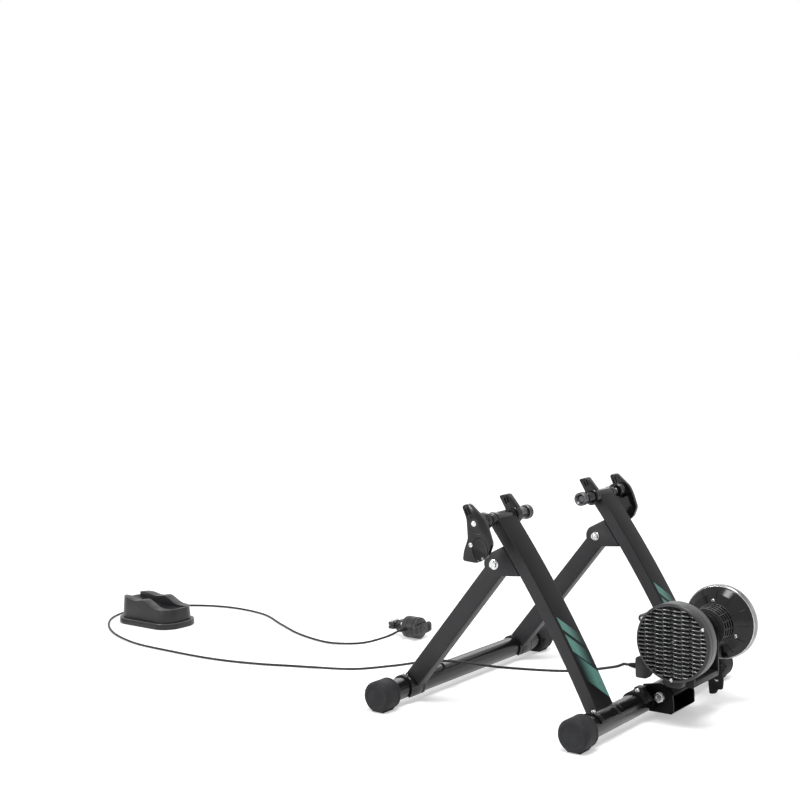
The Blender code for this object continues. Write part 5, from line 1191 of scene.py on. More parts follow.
def makeRoller():
    sizes = rollerSizes
    low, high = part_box("roller")
    big, bore, at = high.z - unit.z, sizes["bore"], sizes["grooveAt"]
    return turnShape([(low.y, bore), *offsets(low.y, 0, *sizes["near"]), *offsets(low.y, big, *sizes["nearRim"]),
                      *offsets(low.y + at, big, *sizes["cut"]), *offsets(high.y - at, big, *sizes["cut"]),
                      *offsets(high.y, big, *sizes["farRim"]), *offsets(high.y, 0, *sizes["far"]),
                      (high.y, bore), (low.y, bore)], unit, steps=sizes["steps"])


dishSizes = {
    "inner": 0.0390, "outer": 0.0672, "facets": 36, "hub": ((0.4, 12), (0, 13)), "bowl": ((0, -0.8), (0.6, 0.4),
        (2.6, 4.5), (8.4, 16)), "rim": ((16.6, -2.6), (18, -0.9), (19.2, 0)), "back": ((-0.4, 0.3), (0, -0.3),
        (0, -3.5)), "inside": ((6.4, -2.2),), "bore": ((6.4, 4.3), (1, 4.3), (0.4, 12)), "ribs": 12,
    "rib": 0.0009, "ribEdge": 0.0004, "ribOut": ((0.2, -0.2), (1.8, 5), (4.2, 10.8), (7.6, 16.8), (11.8, 22.2)),
    "ribRim": ((16, -3.4), (17.6, -3.4)), "ribIn": ((13.4, 22.2), (9.2, 16.8), (5.8, 10.8), (3.4, 5),
        (1.4, -0.2)), "screwAngles": (-25, 95, 215), "screwAt": (0.0046, 0.0018), "screw": ((3, 0), (3, 3.2),
        (-0.4, 3.2), (-1.2, 2.6), (-1.6, 1.4), (-1.6, 0)), "socket": (0.004, 0.0006, 0.0013),
}
dishLow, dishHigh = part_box("ribbed_dish")


def makeDish():
    sizes = dishSizes
    front, back, inner, outer = dishLow.y, dishHigh.y, sizes["inner"], sizes["outer"]
    dish = turnShape([*offsets(front, 0, *sizes["hub"]), *offsets(front, inner, *sizes["bowl"]),
                      *offsets(front, outer, *sizes["rim"]), *offsets(back, outer, *sizes["back"]),
                      *offsets(front, inner, *sizes["inside"]), *offsets(front, 0, *sizes["bore"])],
                     unit, steps=sizes["facets"])
    outline = [*offsets(front, unit.z + inner, *sizes["ribOut"]),
               *offsets(front, unit.z + outer, *sizes["ribRim"]),
               *offsets(front, unit.z + inner, *sizes["ribIn"])]
    half = sizes["rib"]
    rib = plateShape(outline, unit.x - half, unit.x + half, "X", edge=sizes["ribEdge"])
    return gather(dish, spinCopies(rib, sizes["ribs"]))


def makeDishScrews():
    sizes = dishSizes
    out, deep = sizes["screwAt"]
    start, end, radius = sizes["socket"]
    y, screws = dishLow.y + deep, []
    for angle in sizes["screwAngles"]:
        x, z = aroundUnit(sizes["inner"] + out, angle)
        screw = turnShape(offsets(y, 0, *sizes["screw"]), (x, 0, z), steps=28)
        screws.append(cutAway(screw, rodShape((x, 0, z), y - start, y - end, radius, sides=6)))
    return gather(*screws)


wheelSizes = {
    "steps": 144, "back": ((0, 4.3), (0, 66)), "backRim": ((0, -3.4), (0.8, -1.4), (2.2, -0.3), (3.6, 0)),
    "rim": ((-3.6, 0), (-2.2, -0.3), (-0.8, -1.4), (0, -3.4)), "face": ((0, 62), (-0.5, 61.2), (-0.5, 59.8),
        (0, 59), (-0.3, 57.8), (-1.6, 56.6), (-4.8, 55.2), (-5.8, 54), (-6, 52), (-6, 40), (-5.6, 39.4),
        (-5.6, 37.2), (-6, 36.6), (-6, 20), (-5.6, 18.6), (-4, 17.2), (-0.8, 16.4), (0, 15.6), (0, 4.3)),
}


def makeFlywheel():
    sizes, low, high = wheelSizes, wheelLow.y, wheelHigh.y
    return turnShape([*offsets(low, 0, *sizes["back"]), *offsets(low, drumRadius, *sizes["backRim"]),
                      *offsets(high, drumRadius, *sizes["rim"]), *offsets(high, 0, *sizes["face"]),
                      *offsets(low, 0, sizes["back"][0])], unit, steps=sizes["steps"])


def turnedSteel(name, look):  # bright metal with fine rings round the unit's axis
    paint = makePaint(name, look)
    tree = paint.node_tree
    shader = tree.nodes["Principled BSDF"]
    below = shader.inputs["Roughness"].links[0].from_socket
    split = tree.nodes.new("ShaderNodeSeparateXYZ")
    tree.links.new(mapped(tree, (1, 1, 1), (-unit.x, -unit.y, -unit.z)), split.inputs["Vector"])
    out = reckon(tree, "POWER", reckon(tree, "ADD", reckon(tree, "POWER", split.outputs["X"], 2.0),
                                       reckon(tree, "POWER", split.outputs["Z"], 2.0)), 0.5)
    rings = reckon(tree, "SINE", reckon(tree, "MULTIPLY", out, look["rings"]))
    shade = reckon(tree, "ADD", below, ranged(tree, rings, -1, 1, 0.0, look["ringRough"]))
    tree.links.new(shade, shader.inputs["Roughness"])
    height = tree.nodes["Bump"].inputs["Height"]
    raised = reckon(tree, "ADD", height.links[0].from_socket, ranged(tree, rings, -1, 1, 0, 0.5))
    tree.links.new(raised, height)
    if "edge" in look:  # painted highlight: the rim's edges get a near-white base colour in place of reflected light, with a darker band between them
        start, end, bright = look["edge"]
        shine = ranged(tree, reckon(tree, "ABSOLUTE", split.outputs["Y"]), start, end)
        tone = shader.inputs["Base Color"].links[0].from_socket
        tree.links.new(blendColours(tree, shine, tone, bright), shader.inputs["Base Color"])
    return paint


turnedLooks = {
    "wheelChrome": {"dark": grey(0.13, 0.135), "light": grey(0.42, 0.43), "patch": 20, "rough": (0.12, 0.22),
                    "grain": 700, "bump": 0.10, "depth": 0.0001, "metal": 1.0, "worn": grey(0.30),
                    # edge: where the near-white painted highlight across the rim starts and ends, and its colour
                    "scuffScale": 120, "rings": 9000, "ringRough": 0.06, "edge": (0.0067, 0.0074, grey(0.80))},
    "discAlloy": {"dark": grey(0.010, 0.011), "light": grey(0.022, 0.023), "patch": 60, "rough": (0.36, 0.50),
                  "grain": 600, "depth": 0.0001, "metal": 0.6, "scuff": 0.4, "worn": grey(0.06),
                  "scuffScale": 100, "rings": 7000, "ringRough": 0.10, "shine": 0.3},
    "bearingSteel": {"dark": grey(0.45, 0.46), "light": grey(0.68), "patch": 120, "rough": (0.18, 0.30),
                     "grain": 800, "bump": 0.12, "depth": 0.0001, "metal": 1.0, "scuff": 0.4,
                     "worn": (0.20, 0.19, 0.17), "scuffScale": 200, "rings": 12000, "ringRough": 0.05},
}
paints.update({name: turnedSteel(name, look) for name, look in turnedLooks.items()})

settle(makeAxle(), "unitAxle", "rotor", "zincPlate", "zinc", "unit_axle")
settle(makeRoller(), "roller", "rotor", "rollerAlloy", "roller_alloy", "roller")
settle(makeDish(), "ribbedDish", "rotor", "handleGloss", "gloss_black", "ribbed_dish", smooth=9)
settle(makeDishScrews(), "dishScrews", "rotor", "zincPlate", "zinc")
settle(makeFlywheel(), "flywheel", "rotor", "wheelChrome", "flywheel_steel", "flywheel")
for node, paint in (("brake_disc", "discAlloy"), ("left_bearing", "bearingSteel"),
                    ("right_bearing", "bearingSteel"), ("magnet_carrier_plate", "spindleSteel")):
    repaint(node, paint)
print("turning parts done")


# bracket behind the rear tube, its bolt, the collar and the tension lever
unitBracketSizes = {
    "plate": 0.0035, "drop": 0.006, "nose": (0.0250, -5, 100, 22), "corner": 0.004, "edge": 0.0010,
    "tubeClear": 0.0207, "boltClear": 0.0053, "past": 0.01, "open": 0.02, "weldAt": (0.0206, 0.0006),
    "weld": 0.0015, "weldTurn": (-52, 76, 4),
}


def makeUnitBracket():
    sizes = unitBracketSizes
    low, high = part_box("unit_bracket")
    plate, drop, past, corner, back = *(sizes[key] for key in ("plate", "drop", "past", "corner")), high.x
    outline = [(rearTube.x, low.z), (back - corner, low.z), (back, low.z + corner), (back, swingBolt.z - drop),
               *arcOf(swingBolt.x, swingBolt.z, *sizes["nose"]), (rearTube.x, high.z - drop)]
    bracket = plateShape(outline, low.y, high.y)
    cutAway(bracket, blockShape((rearTube.x - past, low.y + plate, low.z + plate),
                                (back + past, high.y - plate, high.z + sizes["open"])),
            rodShape(rearTube, low.y - past, high.y + past, sizes["tubeClear"], sides=96),
            rodShape(swingBolt, low.y - past, high.y + past, sizes["boltClear"]))
    roundEdges(bracket, sizes["edge"], 3, 34)
    out, inset = sizes["weldAt"]
    turns = [math.radians(a) for a in range(*sizes["weldTurn"])]
    for y in (low.y + inset, high.y - inset):  # welds where the ears meet the tube
        bead = [(rearTube.x + out * math.cos(a), y, rearTube.z + out * math.sin(a)) for a in turns]
        gather(bracket, beadAlong(bead, sizes["weld"]))
    return bracket


swingBoltSizes = {"dimple": ((-1, 0), (-1, 5.2), (1.2, 3.8), (1.2, 0)), "steps": 32}


def makeSwingBolt():
    low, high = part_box("swing_bolt")
    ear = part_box("unit_bracket")[0].y - apart
    head, shaft = makeBolt("swing", swingBolt, ear, ear - low.y, high.y)
    cutAway(head, turnShape(offsets(low.y, 0, *swingBoltSizes["dimple"]), (swingBolt.x, 0, swingBolt.z),
                            steps=swingBoltSizes["steps"]))
    return gather(head, shaft)


collarSizes = {
    "inner": 0.0207, "outer": 0.0247, "steps": 128, "edge": 0.0005, "half": 0.03, "past": 0.01,
    "cutTop": 0.0055, "far": ((1, 0), (1.4, -1.2), (5.2, -1.2), (5.6, 0), (8, 0), (8.4, -1.2), (12.2, -1.2),
        (12.6, 0), (15, 0), (15.4, -1.2)), "near": ((-6, -1.2), (-5.6, 0), (0, 0)), "blockX": 0.0059,
    "blockHalf": 0.0080, "blockSunk": 0.001, "blockFar": 0.006, "blockNear": 0.004, "blockEdge": (0.0022, 3),
    "screw": (0.0042, 0.0030), "screwRise": 0.0059,
}
collarLow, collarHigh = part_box("tube_collar")


def makeCollar():
    sizes = collarSizes
    low, high, inner, outer = collarLow, collarHigh, sizes["inner"], sizes["outer"]
    half, past, x = sizes["half"], sizes["past"], rearTube.x + sizes["blockX"]
    ring = turnShape([(low.y, inner), (low.y, outer), *offsets(low.y, outer, *sizes["far"]),
                      *offsets(high.y, outer, *sizes["near"]), (high.y, inner), (low.y, inner)],
                     rearTube, steps=sizes["steps"])
    cutAway(ring, blockShape((rearTube.x - half, low.y - past, rearTube.z - half),
                             (rearTube.x + half, high.y + past, rearTube.z + sizes["cutTop"])))
    roundEdges(ring, sizes["edge"], 2, 50)
    half = sizes["blockHalf"]
    block = blockShape((x - half, low.y + sizes["blockFar"], rearTube.z + inner - sizes["blockSunk"]),
                       (x + half, high.y - sizes["blockNear"], high.z), *sizes["blockEdge"])
    at = (x, low.y + sizes["blockFar"], rearTube.z + inner + sizes["screwRise"])
    return gather(ring, block), socketScrew(at, *sizes["screw"], "Y")


settle(makeUnitBracket(), "unitBracket", "rear_frame", "bracketShadedBlack", "tube_black", "unit_bracket")
settle(makeSwingBolt(), "swingBolt", "rear_frame", "zincPlate", "zinc", "swing_bolt")
settle(makeNut("swing", swingBolt, "swing_nut"), "swingNut", "rear_frame", "zincPlate", "zinc", "swing_nut")
collar, collarScrew = makeCollar()
settle(collar, "tubeCollar", "rear_frame", "castBlack", "tube_black", "tube_collar")
settle(collarScrew, "collarScrew", "rear_frame", "zincPlate", "zinc")

leverSizes = {
    "length": 0.059, "thick": 0.005, "corner": 0.0036, "edge": 0.0012, "slot": 0.0044, "stretch": 0.0036,
    "drop": 0.0140, "bore": 0.0044, "past": 0.01, "lobe": 0.0085, "lobeFoot": ((-1, 0), (-1, 7.8), (0.3, 8.5)),
    "lobeTop": ((-1.4, 8.5), (-0.4, 7.9), (0, 6.7), (0, 0)), "outline": [(-0.102, 0.203), (0.153, 0.136),
        (0.203, -0.339), (0.169, -0.610), (0.017, -0.610), (-0.051, -0.763), (-0.271, -0.797), (-0.305, -0.407),
        (-0.203, -0.102)],
}


def makeLever():
    sizes = leverSizes
    low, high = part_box("tension_lever_plate")
    far, past, slot, lobe = low.y + sizes["thick"], sizes["past"], sizes["slot"], sizes["lobe"]
    plate = plateShape(sharesOf(sizes["outline"], sizes["length"], leverPin.x, leverPin.z), low.y, far,
                       corner=sizes["corner"])
    centre = leverPin.z - sizes["drop"]
    hole = rodShape((leverPin.x - slot / 2, 0, centre), low.y - past, far + past, slot, sides=40)
    moveIn(hole, (0, 0, sizes["stretch"]), lambda place: place.z > centre)
    moveIn(hole, (0, 0, -sizes["stretch"]), lambda place: place.z < centre)
    cutAway(plate, hole, rodShape(leverPin, low.y - past, far + past, sizes["bore"], sides=40))
    roundEdges(plate, sizes["edge"], 3, 40)
    lobe = turnShape(offsets(far, 0, *sizes["lobeFoot"]) + offsets(high.y, 0, *sizes["lobeTop"]),
                     (leverPin.x + lobe / 2, 0, leverPin.z), steps=48)
    cutAway(lobe, rodShape(leverPin, low.y - past, high.y + past, sizes["bore"], sides=40))
    return gather(plate, lobe)


pinSizes = {
    "far": ((0, 0), (0, 3.6), (0.4, 4)), "steps": 40, "near": ((-2.4, 4), (-2.3, 3.3), (-1.3, 3.3), (-1.2, 4),
        (-0.6, 4), (0, 3.3), (0, 0)),
}


def makePin():
    low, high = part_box("tension_pin")
    return turnShape(offsets(low.y, 0, *pinSizes["far"]) + offsets(high.y, 0, *pinSizes["near"]), leverPin,
                     steps=pinSizes["steps"])


settle(makeLever(), "tensionLever", "tension_lever", "capRubber", "drum_plastic", "tension_lever_plate")
settle(makePin(), "tensionPin", "swing_unit", "pinBlack", "zinc", "tension_pin")
print("bracket and lever done")


# handlebar remote at the cable's end: drum, split clamp with two screws, lever plate; profile rows in mm
remoteSizes = {
    "radius": 0.0250, "length": 0.0420, "steps": 96, "cup": ((0, -4), (0.6, -2.2), (1.8, -0.88), (4, 0),
        (15, 0), (15.4, -0.7), (16.8, -0.7), (17.2, 0)), "dial": ((-10, 0), (-9.6, -0.9), (-7.8, -0.9),
        (-7.4, -0.2), (-2.6, -0.3), (-1, -1.4), (0, -3.4)), "face": ((0, 13), (-0.6, 12.2), (-0.6, 0)),
    "neck": 0.0120, "neckReach": 0.006, "neckEdge": (0.0020, 3), "markEnds": (0.0074, 0.0026),
    "mark": (0.0005, 0.0012, 0.0001, 0.0002), "marks": (7, 30, 20),
}
bandSizes = {
    "bar": 0.0111, "outer": 0.0143, "half": 0.0090, "round": 0.8, "steps": 80, "lugHalf": 0.0150,
    "lugThick": 0.0160, "lugFoot": (0.0024, 0.0005), "lugCorner": 0.0016, "lugEdge": 0.0012, "slit": 0.0008,
    "slitPast": (0.005, 0.003), "beyond": 0.03, "hole": 0.0028, "holePast": 0.02,
}
dialLow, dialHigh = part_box("remote_housing")
dial = Vector((dialHigh.x - remoteSizes["length"], (dialLow.y + dialHigh.y) / 2,
               dialHigh.z - remoteSizes["radius"]))
barAt = (dial.x - bandSizes["outer"], 0, dial.z)


def makeRemote():
    sizes = remoteSizes
    start, end, big = dial.x, dialHigh.x, sizes["radius"]
    body = turnShape([(start, 0), *offsets(start, big, *sizes["cup"]), *offsets(end, big, *sizes["dial"]),
                      *offsets(end, 0, *sizes["face"])], dial, "X", steps=sizes["steps"])
    half, tall, reach, beyond = bandSizes["half"], sizes["neck"], sizes["neckReach"], bandSizes["beyond"]
    neck = blockShape((start - reach, dial.y - half, dial.z - tall), (start + reach, dial.y + half, dial.z + tall),
                      *sizes["neckEdge"])
    cutAway(neck, rodShape(barAt, dial.y - beyond, dial.y + beyond, bandSizes["outer"] + apart, sides=64))
    marks = []
    (far, near), (half, deep, proud, edge) = sizes["markEnds"], sizes["mark"]
    count, first, step = sizes["marks"]
    for i in range(count):  # plain index ribs round the upper half, no figures
        rib = blockShape((end - far, dial.y - half, dial.z + big - deep),
                         (end - near, dial.y + half, dial.z + big - proud), edge)
        marks.append(turnIn(rib, math.radians(first + step * i) - math.pi / 2, "X", (end, dial.y, dial.z)))
    return gather(body, neck, *marks)


def makeRemoteBand():
    sizes = bandSizes
    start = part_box("remote_band")[0].x
    inner, outer, half, lugHalf, slit = (sizes[key] for key in ("bar", "outer", "half", "lugHalf", "slit"))
    near, far, halfThick, rim = dial.y - half, dial.y + half, sizes["lugThick"] / 2, sizes["round"]
    band = turnShape([(near, inner), *offsets(near, outer, (0, -rim), (rim, 0)),
                      *offsets(far, outer, (-rim, 0), (0, -rim)), (far, inner), (near, inner)],
                     barAt, steps=sizes["steps"])
    wide, tight = (barAt[0] - inner - short for short in sizes["lugFoot"])
    lug = plateShape([(start, dial.y - lugHalf), (wide, dial.y - lugHalf), (tight, near), (tight, far),
                      (wide, dial.y + lugHalf), (start, dial.y + lugHalf)],
                     dial.z - halfThick, dial.z + halfThick, "Z", corner=sizes["lugCorner"])
    roundEdges(lug, sizes["lugEdge"], 3, 40)
    (before, after), beyond, past = sizes["slitPast"], sizes["beyond"], sizes["holePast"]
    for piece in (lug, band):
        cutAway(piece, blockShape((start - before, dial.y - beyond, dial.z - slit),
                                  (barAt[0] - inner + after, dial.y + beyond, dial.z + slit)))
    for node in ("remote_clamp_screw_1", "remote_clamp_screw_2"):
        cutAway(lug, rodShape(middle(node), dial.z - past, dial.z + past, sizes["hole"], "Z", 32))
    return gather(band, lug)


remoteScrewSizes = {"head": 0.0045, "lift": 0.0002, "shaft": 0.0024, "sunk": 0.001, "edge": 0.0004}


def makeRemoteScrew(node):
    sizes = remoteScrewSizes
    low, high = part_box(node)
    place = middle(node)
    seat = dial.z + bandSizes["lugThick"] / 2 + sizes["lift"]
    head = socketScrew((place.x, place.y, seat), sizes["head"], high.z - seat)
    shaft = rodShape(place, low.z, seat + sizes["sunk"], sizes["shaft"], "Z", 28)
    return gather(head, roundEdges(shaft, sizes["edge"]))


remoteLeverSizes = {
    "thick": 0.0050, "size": (0.034, 0.013), "corner": 0.0034, "edge": 0.0012, "outline": [(-1, 0.55),
        (-0.55, 0.75), (0, 0.95), (0.35, 0.80), (0.75, 1), (1, 0.60), (1, -0.80), (0.5, -1), (-0.5, -1),
        (-1, -0.70)], "bossFoot": ((3, 0), (3, 11), (5.4, 10.8)), "steps": 56, "bossTop": ((-0.2, 9.8),
        (0, 8.8), (0, 4), (-1, 3.4), (-1, 0)), "ribs": (-0.0265, -0.0235, -0.0205, 0.0205, 0.0235, 0.0265),
    "rib": (0.004, 0.0007, 0.0006, 0.0076, 0.0056, 0.0003),
}


def makeRemoteLever():
    sizes = remoteLeverSizes
    low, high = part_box("remote_lever_plate")
    (wide, tall), face = sizes["size"], low.x + sizes["thick"]
    plate = plateShape([(dial.y + u * wide, dial.z + v * tall) for u, v in sizes["outline"]], low.x, face, "X",
                       corner=sizes["corner"])
    roundEdges(plate, sizes["edge"], 3, 40)
    boss = turnShape(offsets(low.x, 0, *sizes["bossFoot"]) + offsets(high.x, 0, *sizes["bossTop"]), dial, "X",
                     steps=sizes["steps"])
    back, proud, half, down, up, edge = sizes["rib"]
    ribs = [blockShape((low.x + back, dial.y + y - half, dial.z - down),
                       (face + proud, dial.y + y + half, dial.z + up), edge)
            for y in sizes["ribs"]]  # thumb ribs on both wings
    return gather(plate, boss, *ribs)


settle(makeRemote(), "remote", "rear_frame", "drumPlastic", "drum_plastic", "remote_housing")
settle(makeRemoteBand(), "remoteBand", "rear_frame", "drumPlastic", "drum_plastic", "remote_band")
for number in ("1", "2"):
    node = "remote_clamp_screw_" + number
    settle(makeRemoteScrew(node), "remoteScrew" + number, "rear_frame", "zincPlate", "zinc", node)
settle(makeRemoteLever(), "remoteLever", "remote_lever", "drumPlastic", "drum_plastic", "remote_lever_plate")
print("remote done")


# front wheel block: plinth, tapering body with an S-shaped top and a groove for the tyre
blockSizes = {
    "plinth": 0.0150, "ledge": 0.0080, "high": 0.0660, "tall": 0.078, "foot": 0.011, "corner": 0.0450,
    "wall": 0.0060, "rib": 0.0020, "chamfer": 0.0250, "pocketHigh": 0.031, "pocketCorner": 0.004,
    "pocketPast": -0.01, "trim": (0.15, 0.09), "taperLong": 0.05, "taperWide": 0.10, "taperFrom": 0.03,
    "edge": 0.0030, "step": 0.0022, "lip": 0.0030, "lipInset": 0.0014, "lipRound": 0.0013, "lipReach": 0.9,
    "wheelX": -1.1324, "wheelRadius": 0.3375, "floor": 0.0400, "groove": 0.0230,
    "ridges": (-0.0135, -0.0045, 0.0045, 0.0135), "ridge": ((-1.1, 1), (-0.7, -0.7), (0.7, -0.7), (1.1, 1)),
    "ridgeTurn": 19, "topLine": [(-1.20, 0.0620), (-0.72, 0.0660), (-0.30, 0.0600), (0.00, 0.0640),
        (0.16, 0.0600), (0.42, 0.0480), (0.70, 0.0460), (1.20, 0.0470)],
}
blockLow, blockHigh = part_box("riser_block")
blockMiddle = (blockLow + blockHigh) / 2
blockLong, blockWide = (blockHigh.x - blockLow.x) / 2, (blockHigh.y - blockLow.y) / 2


def blockPlan(inset):
    return roundedBox(blockMiddle.x, blockMiddle.y, blockLong - inset, blockWide - inset,
                      blockSizes["corner"] - inset, 10)


def blockTop(count):  # the S-shaped line of the side walls' tops
    return smoothRoute([(blockMiddle.x + u * blockLong, 0, z) for u, z in blockSizes["topLine"]], count)


def makeBlock():
    sizes = blockSizes
    low, tall, ledge, wheel = sizes["plinth"], sizes["tall"], sizes["ledge"], sizes["wheelRadius"]
    plinth = plateShape(blockPlan(0), 0, low, "Z")
    openEdit(plinth, faces=lambda place, way: way.z > 0.9)  # a step along the plinth's top
    bpy.ops.mesh.inset(thickness=sizes["step"], depth=0)
    bpy.ops.object.mode_set(mode="OBJECT")
    roundEdges(plinth, sizes["lip"], 4, 50)
    body = plateShape(blockPlan(ledge), sizes["foot"], tall, "Z")
    share = (tall - low) / sizes["high"]
    openEdit(body, points=lambda place: place.z > sizes["taperFrom"])
    bpy.ops.transform.resize(value=(1 - sizes["taperLong"] * share, 1 - sizes["taperWide"] * share, 1),
                             center_override=(blockMiddle.x, blockMiddle.y, tall))
    bpy.ops.object.mode_set(mode="OBJECT")
    line = blockTop(41)
    top, side = sizes["trim"]
    above = [(p.x, p.z) for p in line] + [(line[-1].x, top), (line[0].x, top)]
    cutAway(body, plateShape(above, -side, side))
    hub = (axle.x + sizes["wheelX"], 0, sizes["floor"] + wheel)
    cutAway(body, rodShape(hub, -sizes["groove"], sizes["groove"], wheel, sides=360))
    roundEdges(body, sizes["edge"], 3, 38)
    ridges = []
    turn = math.radians(sizes["ridgeTurn"])
    for y in sizes["ridges"]:  # low grip ridges along the groove's floor
        ridge = turnShape(offsets(y, wheel, *sizes["ridge"]), hub, "Y", 40, turn, True)
        ridges.append(turnAbout(ridge, hub, math.pi / 2 + turn / 2))
    farX, farY = blockLong - ledge - sizes["wall"], blockWide - ledge - sizes["wall"]
    near, chamfer, pockets = sizes["rib"], sizes["chamfer"], []
    for turn, (u, v) in quarters:  # hollow below, with a cross rib
        ring = [(near, near), (farX, near), (farX, farY - chamfer), (farX - chamfer, farY), (near, farY)]
        pockets.append(plateShape([(blockMiddle.x + x * u, blockMiddle.y + y * v) for x, y in ring],
                                  sizes["pocketPast"], sizes["pocketHigh"], "Z", corner=sizes["pocketCorner"]))
    copies = [copyOf(pocket) for pocket in pockets]
    cutAway(plinth, *pockets)
    cutAway(body, *copies)
    return gather(plinth, body, *ridges)


def makeBlockLips():  # beads along the plinth's edge and the two side walls' tops, painted lighter than the block as painted highlight lines on those edges
    sizes = blockSizes
    plinth, foot, tall, ledge, inset = (sizes[key] for key in ("plinth", "foot", "tall", "ledge", "lipInset"))
    corner = sizes["corner"] - ledge - inset
    lips = [beadAlong([(x, y, plinth - inset) for x, y in blockPlan(inset)], sizes["lipRound"], True)]
    line = blockTop(61)
    for side in (-1, 1):
        points = []
        for p in line:
            fade = (p.z - foot) / (tall - foot) * (tall - plinth) / sizes["high"]
            long = (blockLong - ledge) * (1 - sizes["taperLong"] * fade) - inset
            wide = (blockWide - ledge) * (1 - sizes["taperWide"] * fade) - inset
            past = abs(p.x - blockMiddle.x) - (long - corner)
            if past < corner * sizes["lipReach"]:
                drop = corner - math.sqrt(corner ** 2 - max(past, 0) ** 2)
                points.append((p.x, blockMiddle.y + side * (wide - drop), p.z - inset))
        lips.append(beadAlong(points, sizes["lipRound"]))
    return gather(*lips)


# the edge beads carry the lighter tone as painted highlight
settle(makeBlockLips(), "wheelBlockLips", "rear_frame", "lipPaintedHighlight", "riser_plastic", "riser_block")
settle(makeBlock(), "wheelBlock", "rear_frame", "blockPlastic", "riser_plastic", "riser_block")
print("wheel block done")


# cable, from the boot on the drum to the remote
bootSizes = {
    "bore": 0.0013, "mouth": ((0.12, 1), (0.16, 0.90)), "rings": 5, "first": (0.20, 0.97),
    "step": (0.155, 0.075), "ring": ((0, -0.0008), (0.022, 0), (0.085, -0.0001), (0.107, -0.0009)),
    "tip": (0.0006, 0.64, 0.56),
}
cableSizes = {"radius": 0.0025, "length": 2.596, "steps": 380, "lead": 0.010, "clear": 0.0003, "smooth": 60}
cableRoute = [  # x from the wheel axle, y, height of the underside
    (0.150, -0.0580, 0.0840), (0.060, -0.0620, 0.0650), (-0.080, -0.0700, 0.0535),
    (-0.2155, -0.0850, 0.0511), (-0.330, -0.0960, 0.0270), (-0.430, -0.1060, 0.0080),
    (-0.540, -0.1230, 0.0006), (-0.650, -0.1620, 0.0002), (-0.760, -0.1850, 0.0002),
    (-0.900, -0.1890, 0.0002), (-1.040, -0.1790, 0.0002), (-1.180, -0.1250, 0.0002),
    (-1.285, -0.0330, 0.0002), (-1.310, 0.0700, 0.0002), (-1.250, 0.1620, 0.0002),
    (-1.130, 0.2150, 0.0002), (-0.990, 0.2050, 0.0002), (-0.870, 0.1450, 0.0002),
    (-0.760, 0.0920, 0.0002), (-0.650, 0.0660, 0.0004), (-0.568, 0.0860, 0.0050),
    (-0.528, 0.1300, 0.0160),
]


def makeBoot(node, axis, radius):  # strain relief with ring grooves
    sizes = bootSizes
    low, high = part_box(node)
    place = "XYZ".index(axis)
    tip, base = low[place], high[place]
    length, bore, centre = base - tip, sizes["bore"], (low + high) / 2
    centre[place] = 0
    profile = [(base, bore), (base, radius), *((base - length * a, radius * r) for a, r in sizes["mouth"])]
    (start, size), (along, shrink) = sizes["first"], sizes["step"]
    for i in range(sizes["rings"]):
        y, ring = base - length * (start + along * i), radius * (size - shrink * i)
        profile += [(y - length * a, ring + r) for a, r in sizes["ring"]]
    back, near, end = sizes["tip"]
    profile += [(tip + back, radius * near), (tip, radius * end), (tip, bore), (base, bore)]
    return turnShape(profile, centre, axis, 32)


for name, node, body, axis, radius in (("outletBoot", "outlet_boot", "swing_unit", "X", 0.0055),
                                       ("remoteGland", "remote_gland", "rear_frame", "Y", 0.0044)):
    settle(makeBoot(node, axis, radius), name, body, "capRubber", "cap_rubber", node)

cableStart, cableEnd = middle("outlet_boot"), middle("remote_gland")
cableStart.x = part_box("outlet_boot")[0].x - apart
cableEnd.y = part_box("remote_gland")[0].y - apart
radius, lead, clear = cableSizes["radius"], cableSizes["lead"], cableSizes["clear"]
route = [cableStart - Vector((lead, 0, 0)), *((axle.x + x, y, z + radius) for x, y, z in cableRoute),
         cableEnd - Vector((0, lead, 0))]
cablePath = [cableStart] + smoothRoute(route, cableSizes["steps"]) + [cableEnd]
cablePath = [Vector((max(p.x, cadBounds[0].x + radius), p.y, max(p.z, radius + clear))) for p in cablePath]
cable = beadAlong(cablePath, radius)
cable.name = "cable"
pick(cable)
bpy.ops.object.shade_smooth_by_angle(angle=math.radians(cableSizes["smooth"]))
cable.data.materials.clear()
cable.data.materials.append(paints["cableSkin"])
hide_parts("resistance_cable")
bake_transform(cable)
print("cable laid")


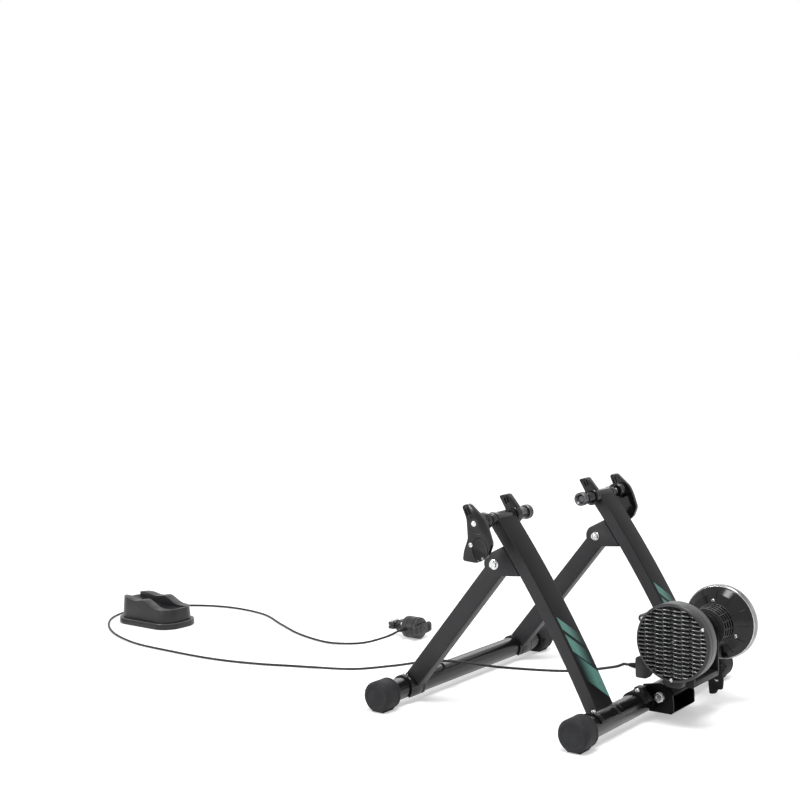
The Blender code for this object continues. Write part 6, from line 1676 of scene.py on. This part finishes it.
# white floor that keeps the shadow, and soft studio light
stageLook = {"size": 40, "drop": -0.0004, "floor": (0.80, 0.80, 0.80, 1), "rough": 0.8, "white": (1, 1, 1, 1),
             "glow": (0.42, 0.80), "glowReach": (0.9, 4.5), "world": 0.44,
             "lamps": {  # place and target from the wheel axle, size, power
                 "topLamp": ((0.5, -0.7, 2.6), (-0.1, 0, 0.1), (1.3, 0.9), 58),
                 "leftLamp": ((-1.6, -2.6, 1.3), (0, 0, 0.15), (0.7, 0.9), 34),
                 "backLamp": ((-1.2, 2.1, 1.7), (0, 0, 0.1), (1.6, 1.2), 12)}}


def seenBy(tree, first, *others):  # 1 where one of these rays meets it
    rays = tree.nodes.new("ShaderNodeLightPath")
    seen = rays.outputs[first]
    for kind in others:
        seen = reckon(tree, "MAXIMUM", rays.outputs[kind], seen)
    return seen


def makeStage(look):
    clearPick()
    bpy.ops.mesh.primitive_plane_add(size=look["size"], location=(0, 0, look["drop"]))
    floor = bpy.context.object
    floor.name = "floor"
    paint = bpy.data.materials.new("floorPaint")
    paint.use_nodes = True
    tree = paint.node_tree
    shader = tree.nodes["Principled BSDF"]
    for socket, value in (("Base Color", look["floor"]), ("Roughness", look["rough"]),
                          ("Emission Color", look["white"])):
        shader.inputs[socket].default_value = value
    away = tree.nodes.new("ShaderNodeVectorMath")  # the lamps reach less far out, so the floor glows more there
    away.operation = "LENGTH"
    tree.links.new(mapped(tree), away.inputs[0])
    glow = ranged(tree, away.outputs["Value"], *look["glowReach"], *look["glow"])
    seen = seenBy(tree, "Is Camera Ray", "Is Glossy Ray")
    tree.links.new(reckon(tree, "MULTIPLY", seen, glow), shader.inputs["Emission Strength"])
    floor.data.materials.append(paint)

    world = bpy.data.worlds.new("studio")
    world.use_nodes = True
    scene.world = world
    tree = world.node_tree
    back = tree.nodes["Background"]
    back.inputs["Color"].default_value = look["white"]
    seen = seenBy(tree, "Is Camera Ray", "Is Glossy Ray", "Is Transmission Ray")
    tree.links.new(ranged(tree, seen, 0, 1, look["world"], 1.0), back.inputs["Strength"])


def softLamp(name, place, target, size, power):
    place, target = (Vector((axle.x + x, y, z)) for x, y, z in (place, target))
    bpy.ops.object.light_add(type="AREA", location=place)
    lamp = bpy.context.object
    lamp.name = name
    lamp.data.shape = "RECTANGLE"
    lamp.data.size, lamp.data.size_y = size
    lamp.data.energy = power
    lamp.rotation_euler = (target - place).to_track_quat("-Z", "Y").to_euler()


makeStage(stageLook)
for name, lamp in stageLook["lamps"].items():
    softLamp(name, *lamp)

scene.view_settings.view_transform = "Standard"
